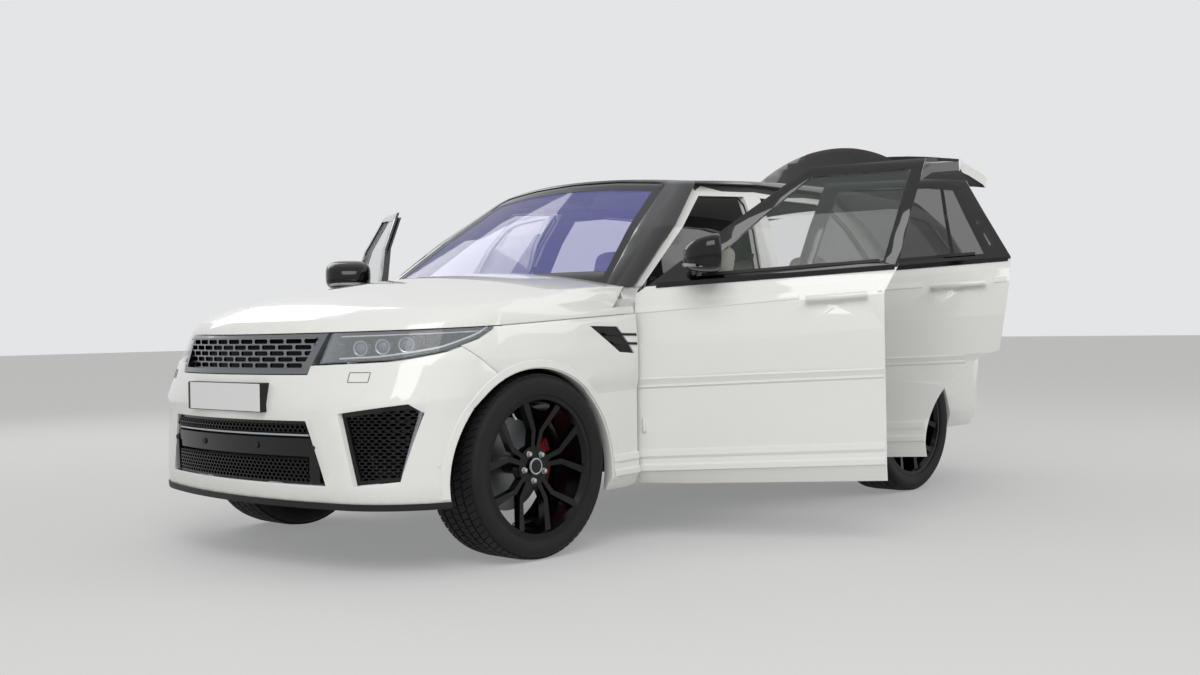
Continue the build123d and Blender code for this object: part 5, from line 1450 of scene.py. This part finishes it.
class SUV_OT_dash(bpy.types.Operator):
    """Adds the dashboard's screens, vents and console, the steering wheel and the pedals"""
    bl_idname = "suv.dash"
    bl_label = "Add the dashboard's pieces"

    def execute(self, context):
        self.screens()
        self.vents()
        self.wheel()
        self.console()
        self.pedals()
        return {"FINISHED"}

    def screens(self):
        """The screens and touch panel, the instrument hood, and the dashboard's strips and stitching."""
        frame_part = leaning(-0.150, 0.150, (-1.030, 0.985), (-1.002, 1.105), (-0.014, 0, -0.003))
        add_piece("centre_screen_frame", "body", frame_part, "gloss", bevel=0.004)
        glass = leaning(-0.140, 0.140, (-1.0446, 0.990), (-1.0186, 1.097), (-0.0015, 0, -0.0004))
        add_piece("centre_screen_glass", "body", glass, "privacy", bevel=0.0005)
        low = leaning(-0.085, 0.085, (-1.200, 0.752), (-1.086, 0.868), (-0.005, 0, 0.005))
        add_piece("lower_touch_panel", "body", low, "gloss", bevel=0.002)
        rings = []
        for i in range(21):
            t = -1 + i / 10
            y, z = -0.370 + 0.185 * t, 1.150 + 0.030 * (1 - t ** 4)
            rings.append([(-0.86, y, z - 0.040), (-0.86, y, z), (-1.035, y, z - 0.020),
                          (-1.040, y, z - 0.032), (-0.99, y, z - 0.040)])
        add_piece("instrument_hood", "body", Shape().rings(rings), "dark_leather", bevel=0.004)
        dials = leaning(-0.525, -0.215, (-1.018, 1.020), (-0.996, 1.122), (-0.006, 0, -0.001))
        add_piece("instrument_screen", "body", dials, "privacy", bevel=0.001)
        strip = Shape()
        for y0, y1 in ((-0.79, -0.56), (0.17, 0.79)):
            strip.join(leaning(y0, y1, (-1.042, 0.955), (-1.036, 0.990), (0.008, 0, 0)))
        add_piece("dash_strips", "body", strip, "silver", bevel=0.002)
        seam = Shape()
        for y0, y1 in ((-0.78, -0.57), (0.17, 0.78)):
            seam.tube(between((-1.010, y0, 1.081), (-1.010, y1, 1.081), 12), 0.0022, 6)
        add_piece("dash_stitching", "body", seam, "leather", 60)

    def vents(self):
        """Four air vents with blades."""
        frames, blades = Shape(), Shape()
        for y in (-0.70, -0.185, 0.185, 0.70):
            x = -1.036
            for z in (1.000, 1.056):
                frames.block((x - 0.006, y - 0.072, z - 0.003), (x + 0.02, y + 0.072, z + 0.003))
            for edge in (-0.072, 0.072):
                frames.block((x - 0.006, y + edge - 0.003, 1.000), (x + 0.02, y + edge + 0.003, 1.056))
            for k in range(4):
                z = 1.009 + 0.0125 * k
                blades.slab([(x - 0.002, y - 0.068, z), (x + 0.016, y - 0.068, z + 0.005),
                             (x + 0.016, y + 0.068, z + 0.005), (x - 0.002, y + 0.068, z)], (0, 0, 0.0018))
        add_piece("vent_frames", "body", frames, "silver", bevel=0.001)
        add_piece("vent_blades", "body", blades, "gloss", bevel=0.0005)

    def wheel(self):
        """The steering wheel: leather rim, hub pad, spokes with bright inserts and switches."""
        n = Vector((-0.92, 0, 0.39)).normalized()
        left, up = Vector((0, 1, 0)), Vector((0.39, 0, 0.92)).normalized()
        turn = Matrix((n, left, up)).transposed().to_4x4()
        turn = Matrix.Translation((-1.150, -0.370, 1.010)) @ turn
        rings = []
        for t in steps(96):
            radius = 0.182 - (0.010 * max(0.0, -math.sin(t) - 0.82) / 0.18)
            grip = 0.0165 + 0.0020 * math.exp(-(abs(math.sin(t - 0.45)) / 0.25) ** 2)
            ring = []
            for s in steps(14):
                r = radius + grip * math.cos(s) * 0.88
                ring.append(turn @ Vector((grip * math.sin(s), r * math.cos(t), r * math.sin(t))))
            rings.append(ring)
        rim = Shape().rings(rings, loop=True)
        piece = add_piece("steering_rim", "steering_wheel", rim, "dark_leather", 60)
        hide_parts("steering_wheel")
        pad = cushion((0.062, 0.170, 0.140), (0.004, 0, -0.004), 0.0, 3.6, 0.10, 0.05, count=20).turned(turn)
        add_piece("steering_pad", "steering_wheel", pad, "dark_leather", 60)
        arms, bright, keys = Shape(), Shape(), Shape()
        for sign in (1, -1):
            rings = []
            for k in range(9):
                y = 0.070 + 0.105 * k / 8
                h = 0.030 - 0.009 * k / 8
                z0 = 0.004 + 0.012 * k / 8
                rings.append([turn @ Vector((x, sign * y, z0 + z)) for x, z in
                              ((0.012, -h), (0.018, 0), (0.012, h), (-0.008, h * 0.8), (-0.008, -h * 0.8))])
            arms.rings(rings)
            line = []
            for k in range(10):
                drop = -0.014 - 0.010 * math.sin(k / 9 * 3)
                line.append(turn @ Vector((0.019, sign * (0.085 + 0.082 * k / 9), drop)))
            bright.tube(line, 0.0028, 8)
            for k in range(2):
                place = (0.020, sign * 0.112, 0.018 - 0.022 * k)
                keys.join(cushion((0.010, 0.030, 0.018), place, 0, 3.0, count=8).turned(turn))
        rings = []
        for k in range(9):
            z = -0.060 - 0.112 * k / 8
            w = 0.026 - 0.004 * k / 8
            section = ((0.010, -w), (0.014, 0), (0.010, w), (-0.008, w), (-0.008, -w))
            rings.append([turn @ Vector((x, y, z)) for x, y in section])
        arms.rings(rings)
        column = [turn @ Vector((x, 0, 0)) for x in (-0.010, -0.060, -0.125)]
        arms.tube(column, 0.032, 18)
        add_piece("steering_arms", "steering_wheel", arms, "gloss", bevel=0.003)
        add_piece("steering_bright_lines", "steering_wheel", bright, "silver", 60)
        add_piece("steering_keys", "steering_wheel", keys, "trim", 60)

    def console(self):
        """The gear selector, cup holders, armrest and side rails of the console."""
        knob = Shape().lathe([(0.0, 0.060), (0.020, 0.058), (0.026, 0.050), (0.024, 0.030), (0.018, 0.012),
                              (0.026, 0.0), (0.030, -0.01)], (-1.290, 0.0, 0.742), 28, "z")
        add_piece("gear_selector", "body", knob, "gloss", 40)
        cups = Shape()
        for x in (-1.40, -1.49):
            cups.lathe([(0.041, -0.002), (0.041, 0.006), (0.036, 0.008), (0.034, 0.004), (0.034, -0.002)],
                       (x, 0.0, 0.740), 32, "z", True)
        add_piece("cup_holder_rings", "body", cups, "silver", 40)
        rest = cushion((0.230, 0.200, 0.060), (-1.650, 0.0, 0.762), 0.0, 4.0, 0.12, 0.02, (0.0,), (), 20)
        add_piece("console_armrest", "body", rest, "leather", 60)
        rails = Shape()
        for sign in (1, -1):
            line = [(x, sign * 0.100, z) for x, z in ((-1.090, 0.878), (-1.205, 0.752), (-1.38, 0.746),
                                                      (-1.745, 0.738))]
            rails.sweep(line, bar_section(0.006, 0.004), (0, 1, 0))
        add_piece("console_rails", "body", rails, "silver", bevel=0.001)

    def pedals(self):
        """Two pedals on the driver's side."""
        plates, arms = Shape(), Shape()
        for y, width in ((-0.300, 0.085), (-0.440, 0.050)):
            plates.join(leaning(y - width / 2, y + width / 2, (-0.800, 0.530), (-0.770, 0.610),
                                (-0.010, 0, 0.004)))
            arms.tube([(-0.778, y, 0.590), (-0.730, y, 0.700), (-0.700, y, 0.740)], 0.009, 8)
        add_piece("pedals", "body", plates, "silver", bevel=0.002)
        add_piece("pedal_arms", "body", arms, "trim", 50)


class SUV_OT_trims(bpy.types.Operator):
    """Adds the door trims, seat belts, mats, visors and roof console"""
    bl_idname = "suv.trims"
    bl_label = "Add the cabin's trims"

    def execute(self, context):
        for place, x0, x1, rise in (("front", -0.93, -1.53, 0.0), ("rear", -1.95, -2.36, 0.055)):
            self.door_card(place, x0, x1, rise)
        self.belts()
        mats = Shape()
        for x0, x1, y0, y1 in ((-1.12, -0.66, 0.17, 0.62), (-1.12, -0.66, -0.62, -0.17),
                               (-2.00, -1.68, 0.14, 0.60), (-2.00, -1.68, -0.60, -0.14)):
            mats.block((x0, y0, 0.4305), (x1, y1, 0.4385))
        add_piece("floor_mats", "body", mats, "carpet", bevel=0.003)
        visors = Shape()
        for sign in (1, -1):
            visors.slab([(-1.345, sign * 0.12, 1.662), (-1.345, sign * 0.50, 1.650),
                         (-1.490, sign * 0.50, 1.668), (-1.490, sign * 0.14, 1.680)], (0, 0, 0.014))
        add_piece("sun_visors", "body", visors, "headliner", bevel=0.006)
        lamp_panel = Shape().block((-1.52, -0.09, 1.668), (-1.36, 0.09, 1.694))
        add_piece("roof_console", "body", lamp_panel, "trim", bevel=0.008)
        return {"FINISHED"}

    def door_card(self, place, x0, x1, rise):
        """Armrest, pull, pocket, loudspeaker and switches of one pair of doors."""
        skin = Skin(f"{place}_door_left")

        def inner(x, z, inward):
            hit = skin.hit((x, 0.30, z), (0, 1, 0))
            return Vector((x, (hit.y if hit else 0.88) - inward, z))

        rings = []
        for i in range(15):
            t = i / 14
            x = x0 + (x1 - x0) * t
            z = 0.800 + rise + 0.030 * (1 - t) ** 2
            swell = 0.030 + 0.016 * math.sin(math.pi * min(1.0, t * 1.1)) ** 0.6
            p = inner(x, z, -0.002)
            rings.append([p] + around(p, (0, -swell, 0.004), (0, -swell - 0.006, 0.020), (0, -swell, 0.040),
                                      (0, 0, 0.046)))
        rest = Shape().rings(rings)
        rings = []
        for i in range(15):
            x = x0 + 0.06 + (x1 - 0.04 - x0 - 0.06) * i / 14
            low, high = inner(x, 0.640 + rise, 0.006), inner(x, 0.790 + rise, 0.006)
            rings.append([low, high] + around(high, (0, 0.010, 0)) + around(low, (0, 0.010, 0)))
        panel = Shape().rings(rings)
        rings = []
        for i in range(15):
            t = i / 14
            x = x0 + (x1 - x0) * t
            bulge = 0.022 + 0.014 * math.sin(math.pi * t)
            p, q = inner(x, 0.480 + rise, -0.002), inner(x, 0.580 + rise, -0.002)
            rings.append([p, *around(p, (0, -bulge, 0.012)),
                          *around(q, (0, -bulge, 0), (0, 0.006 - bulge, 0)),
                          *around(p, (0, 0.010 - bulge, 0.030), (0, 0, 0.034))])
        pocket = Shape().rings(rings)
        lever = Shape()
        p = inner(x0 - 0.05, 0.955 + rise, 0.016)
        lever.sweep(around(p, (0, 0.014, 0), (0, 0, 0), (-0.050, -0.003, 0), (-0.105, 0, 0)),
                    [(-0.010, -0.003), (0.010, -0.003), (0.008, 0.003), (-0.008, 0.003)], (0, 0, 1))
        cone = Shape()
        spot = inner(x0 + 0.03, 0.560 + rise, 0.008)
        cone.lathe([(0.0, -0.0005), (0.060, -0.001), (0.068, 0.002), (0.068, 0.012)], spot, 36)
        switches = Shape()
        for k in range(3):
            c = inner(x0 - 0.17 - 0.055 * k, 0.848 + rise, 0.020)
            switches.block((c.x - 0.020, c.y - 0.010, c.z - 0.002), (c.x + 0.020, c.y + 0.012, c.z + 0.006))
        for name, shape, finish, bevel, pad in (
                ("armrest", rest, "leather", 0.004, 0.8), ("card_panel", panel, "leather", 0.003, 0.9),
                ("pocket", pocket, "trim", 0.003, None), ("inner_handle", lever, "silver", 0.0015, None),
                ("loudspeaker", cone, "gloss", 0.0, None),
                ("window_switches", switches, "gloss", 0.002, None)):
            add_pair(f"{name}_{place}", f"{place}_door", shape, finish, 32.0, bevel)

    def belts(self):
        """Front and rear seat belts that hang straight down against the body's sides, with their guides."""
        skin = Skin("body_shell")
        straps, guides = Shape(), Shape()
        for x, z_top, z_foot in ((-1.700, 1.300, 0.500), (-2.760, 1.260, 1.00)):
            line = []
            for z in row(z_top, z_foot, 12):
                hit = skin.hit((x, 0.30, z), (0, 1, 0))
                line.append(Vector((x, (hit.y if hit else 0.84) - 0.008, z)))
            straps.rings([around(p, (-0.0235, 0, 0), (0.0235, 0, 0), (0.0235, -0.0014, 0),
                                 (-0.0235, -0.0014, 0)) for p in line])
            _, y, z = line[0]
            guides.block((x - 0.035, y - 0.012, z - 0.012), (x + 0.035, y + 0.012, z + 0.020))
        add_piece("belt_straps", "body", straps.both(), "headliner", 60)
        add_piece("belt_guides", "body", guides.both(), "trim", bevel=0.005)


class SUV_OT_rear(bpy.types.Operator):
    """Adds the tail lamps' insides, the tailgate's trims, the reflectors and the tail pipe rings"""
    bl_idname = "suv.rear"
    bl_label = "Add the rear pieces"

    def execute(self, context):
        self.lamps()
        self.tailgate()
        self.bumper()
        return {"FINISHED"}

    def lamps(self):
        """Light guides and dark dividers close behind the red covers."""
        skin = Skin("tail_lamps")
        guides = Shape()
        for z, radius in ((1.012, 0.0045), (1.052, 0.0035), (1.092, 0.0045)):
            line = [skin.side(x, z, -0.006, 0.92) for x in row(-3.585, -3.760, 10)]
            last = line[-1]
            for y in row(last.y, 0.66, 12)[1:]:
                hit = skin.hit((-5.5, y, z), (1, 0, 0))
                if hit is not None and hit.x < -3.80:
                    line.append(Vector((hit.x + 0.006, y, z)))
            guides.tube(line, radius, 8)
        add_piece("tail_light_guides", "body", guides.both(), "diffuser", 50)
        rings = []
        for x in row(-3.580, -3.780, 12):
            p = skin.side(x, 1.052, -0.004, 0.92)
            rings.append(around(p, (0, 0.0045, -0.012), (0, 0.0045, -0.005), (0, -0.001, -0.005),
                                (0, -0.001, -0.012)))
        add_piece("tail_lamp_dividers", "body", Shape().rings(rings).both(), "gloss", bevel=0.0005)

    def tailgate(self):
        """High brake light, crease, grip, the band round the glass and the latch."""
        skin = Skin("tailgate")
        rings = []
        for y in row(-0.20, 0.20, 21):
            p = skin.back(y, 1.700, 0.0012, -3.86)
            rings.append(around(p, (0, 0, -0.006), (0, 0, 0.006), (0.006, 0, 0.006), (0.006, 0, -0.006)))
        add_piece("high_brake_light", "tailgate", Shape().rings(rings), "red", bevel=0.001)
        ridge = skin.across(row(-0.590, 0.590, 50),
                            ((1.000, -0.002), (0.994, 0.004), (0.984, 0.0045), (0.976, -0.002)), -3.97)
        add_piece("tailgate_crease", "tailgate", ridge, "paint", 20)
        shelf = skin.across(row(-0.260, 0.260, 26),
                            ((1.155, 0.002), (1.150, 0.012), (1.136, 0.013), (1.128, 0.002)), -3.97)
        add_piece("tailgate_grip", "tailgate", shelf, "gloss", 25)
        glass = Skin("tailgate_glass")
        outline = [(0.575, 1.340), (0.505, 1.600), (0.0, 1.616), (-0.505, 1.600), (-0.575, 1.340)]
        line = [glass.back(y, z, 0.0006, -3.8) for y, z in walk(outline, 10)]
        seal = Shape().sweep(line, bar_section(0.022, 0.0006), (1, 0, 0), True)
        add_piece("tailgate_glass_band", "tailgate", seal, "gloss", 60)
        latch = Shape().block((-3.925, -0.040, 0.812), (-3.880, 0.040, 0.840))
        add_piece("tailgate_latch", "tailgate", latch, "steel", bevel=0.004)

    def bumper(self):
        """Reflectors, sensors, the step's trim, rings on the tail pipes and diffuser vanes."""
        skin = Skin("rear_bumper")
        glow = skin.across(row(0.62, 0.84, 18),
                           ((0.520, -0.001), (0.520, 0.003), (0.548, 0.003), (0.548, -0.001)), -3.93)
        add_piece("rear_reflectors", "body", glow.both(), "red", bevel=0.001)
        dots = Shape()
        for y in (0.25, 0.62):
            spot = skin.back(y, 0.640, 0.0, -3.98)
            dots.lathe([(0.0, -0.002), (0.010, -0.0015), (0.0125, 0.0), (0.0125, 0.006)], spot, 20, "x")
        add_piece("rear_sensors", "body", dots.both(), "paint", 25)
        step = skin.across(row(-0.72, 0.72, 50),
                           ((0.772, -0.002), (0.775, 0.004), (0.788, 0.004), (0.791, -0.002)), -3.985)
        add_piece("rear_step_trim", "body", step, "trim", 30)
        rims = Shape()
        for y in (-0.540, -0.430, 0.430, 0.540):
            rims.lathe([(0.0435, -0.010), (0.0435, 0.020), (0.0505, 0.020), (0.0512, 0.002),
                        (0.0500, -0.011)], (-3.942, y, 0.322), 36, "x", True)
        add_piece("tail_pipe_rims", "body", rims, "silver", 40)
        vanes = Shape()
        for y in (-0.24, -0.08, 0.08, 0.24):
            vanes.join(leaning(y - 0.004, y + 0.004, (-3.905, 0.268), (-3.760, 0.262), (0, 0, -0.020)))
        add_piece("diffuser_vanes", "body", vanes, "trim", bevel=0.0015)


class SUV_OT_chassis(bpy.types.Operator):
    """Adds the bonnet's strikers"""
    bl_idname = "suv.chassis"
    bl_label = "Add the bonnet's strikers"

    def execute(self, context):
        pulls = Shape()
        skin = Skin("bonnet")
        for y in (0.30, 0.44):
            spot = skin.top(0.10, y, 0.0, 1.15)
            pulls.block((0.06, y - 0.010, spot.z - 0.032), (0.10, y + 0.010, spot.z - 0.014))
        add_piece("bonnet_strikers", "bonnet", pulls.both(), "steel", bevel=0.002)
        return {"FINISHED"}


# Size of each soft lamp
LAMP_SIZE = 5.0
# The photograph's camera: its place from the front axle, and its yaw, pitch and roll in degrees
CAMERA_PLACE = (3.9848, 5.1269, 0.9709)
CAMERA_TURN = (-136.371, -0.5285, -1.0084)


class SUV_OT_stage(bpy.types.Operator):
    """Makes the pale floor, the soft light and the camera"""
    bl_idname = "suv.stage"
    bl_label = "Make the stage"

    def execute(self, context):
        scene = context.scene
        scene.view_settings.view_transform = "Standard"
        mesh = bpy.data.meshes.new("studio_floor")
        mesh.from_pydata([(-60, -60, 0), (60, -60, 0), (60, 60, 0), (-60, 60, 0)], [], [(0, 1, 2, 3)])
        floor = bpy.data.objects.new("studio_floor", mesh)
        mesh.materials.append(floor_paint())
        scene.collection.objects.link(floor)
        make_world(scene)
        make_lamp("key", (6.5, 5.5, 6.5), 330)
        make_lamp("fill", (-6.0, 6.5, 5.0), 130)
        make_lamp("back", (0.0, -8.0, 6.0), 160)
        make_camera(scene)
        return {"FINISHED"}


def make_world(scene):
    """A pale surround that lights the object evenly and looks near white to the camera."""
    world = bpy.data.worlds.new("Studio")
    scene.world = world
    world.use_nodes = True
    tree = world.node_tree
    tree.nodes.clear()
    seen = shown_rays(tree)
    light = add_node(tree, "ShaderNodeBackground", in_Color=linear("#F6F5F2"), in_Strength=0.58)
    shown = add_node(tree, "ShaderNodeBackground", in_Color=linear("#E9EAEC"), in_Strength=0.95)
    mix = add_node(tree, "ShaderNodeMixShader", [(seen, 0, 0), (light, 0, 1), (shown, 0, 2)])
    add_node(tree, "ShaderNodeOutputWorld", [(mix, 0, "Surface")])


def make_lamp(name, place, power):
    """A large soft lamp aimed at the vehicle."""
    data = bpy.data.lights.new(name, "AREA")
    data.energy = power
    data.size = LAMP_SIZE
    lamp = bpy.data.objects.new(name, data)
    lamp.location = place
    lamp.rotation_euler = (Vector((0, 0, 0.8)) - Vector(place)).to_track_quat("-Z", "Y").to_euler()
    bpy.context.scene.collection.objects.link(lamp)


def make_camera(scene):
    """The camera at the photograph's angle."""
    data = bpy.data.cameras.new("camera")
    camera = bpy.data.objects.new("camera", data)
    scene.collection.objects.link(camera)
    data.sensor_width = 36.0
    data.lens = scene.suv_stage.lens
    yaw, pitch, roll = [math.radians(angle) for angle in CAMERA_TURN]
    d = Vector((math.cos(pitch) * math.cos(yaw), math.cos(pitch) * math.sin(yaw), math.sin(pitch)))
    right = d.cross(Vector((0, 0, 1))).normalized()
    up = right.cross(d)
    r2 = right * math.cos(roll) + up * math.sin(roll)
    u2 = -right * math.sin(roll) + up * math.cos(roll)
    turn = Matrix((r2, u2, -d)).transposed()
    x, y, z = CAMERA_PLACE
    camera.matrix_world = Matrix.Translation((AXLE_X + x, y, z)) @ turn.to_4x4()
    data.clip_end = 200.0
    scene.camera = camera


# Settings and panel

class SuvColours(bpy.types.PropertyGroup):
    """Colours that a user may change"""
    paint: FloatVectorProperty(name="Body paint", description="Colour of the painted skins", subtype="COLOR",
                               size=3, min=0.0, max=1.0, default=linear("#ECECE9")[:3])
    black: FloatVectorProperty(name="Roof paint", description="Colour of the roof and window frames",
                               subtype="COLOR", size=3, min=0.0, max=1.0, default=linear("#09090B")[:3])
    leather: FloatVectorProperty(name="Seat leather", description="Colour of the seats and door trims",
                                 subtype="COLOR", size=3, min=0.0, max=1.0, default=linear("#CFCBC2")[:3])
    caliper: FloatVectorProperty(name="Brake calipers", description="Colour of the brake calipers",
                                 subtype="COLOR", size=3, min=0.0, max=1.0, default=linear("#B3141A")[:3])


class SuvSizes(bpy.types.PropertyGroup):
    """Sizes of the fine pieces"""
    honeycomb: FloatProperty(name="Honeycomb pitch", description="Distance between the intakes' cells",
                             default=0.017, min=0.005, max=0.08, unit="LENGTH", subtype="DISTANCE")
    tread_pitches: IntProperty(name="Tread blocks", description="Blocks round one tyre", default=72,
                               min=20, max=160)


class SuvStage(bpy.types.PropertyGroup):
    """Camera settings"""
    lens: FloatProperty(name="Lens", description="Focal length of the camera in millimetres", default=41.714,
                        min=10.0, max=200.0)


class SUV_PT_panel(bpy.types.Panel):
    """Lists the vehicle's operators and settings"""
    bl_idname = "SUV_PT_panel"
    bl_label = "Vehicle"
    bl_space_type = "VIEW_3D"
    bl_region_type = "UI"
    bl_category = "Vehicle"

    def draw(self, context):
        for group in (context.scene.suv_colours, context.scene.suv_sizes, context.scene.suv_stage):
            for name in group.__annotations__:
                self.layout.prop(group, name)
        for operator in OPERATORS:
            self.layout.operator(operator.bl_idname)


OPERATORS = (SUV_OT_paint_shell, SUV_OT_paint_doors, SUV_OT_paint_wheels, SUV_OT_paint_cabin,
             SUV_OT_front, SUV_OT_headlamps, SUV_OT_sides, SUV_OT_screens, SUV_OT_wheels, SUV_OT_seats,
             SUV_OT_dash, SUV_OT_trims, SUV_OT_rear, SUV_OT_chassis, SUV_OT_stage)
GROUPS = (SuvColours, SuvSizes, SuvStage)


def register():
    for item in GROUPS + OPERATORS + (SUV_PT_panel,):
        bpy.utils.register_class(item)
    bpy.types.Scene.suv_colours = PointerProperty(type=SuvColours)
    bpy.types.Scene.suv_sizes = PointerProperty(type=SuvSizes)
    bpy.types.Scene.suv_stage = PointerProperty(type=SuvStage)


def unregister():
    del bpy.types.Scene.suv_stage
    del bpy.types.Scene.suv_sizes
    del bpy.types.Scene.suv_colours
    for item in reversed(GROUPS + OPERATORS + (SUV_PT_panel,)):
        bpy.utils.unregister_class(item)


def main():
    register()
    bpy.ops.suv.paint_shell()
    bpy.ops.suv.paint_doors()
    bpy.ops.suv.paint_wheels()
    bpy.ops.suv.paint_cabin()
    bpy.ops.suv.front()
    bpy.ops.suv.headlamps()
    bpy.ops.suv.sides()
    bpy.ops.suv.screens()
    bpy.ops.suv.wheels()
    bpy.ops.suv.seats()
    bpy.ops.suv.dash()
    bpy.ops.suv.trims()
    bpy.ops.suv.rear()
    bpy.ops.suv.chassis()
    bpy.ops.suv.stage()


if __name__ == "__main__":
    main()
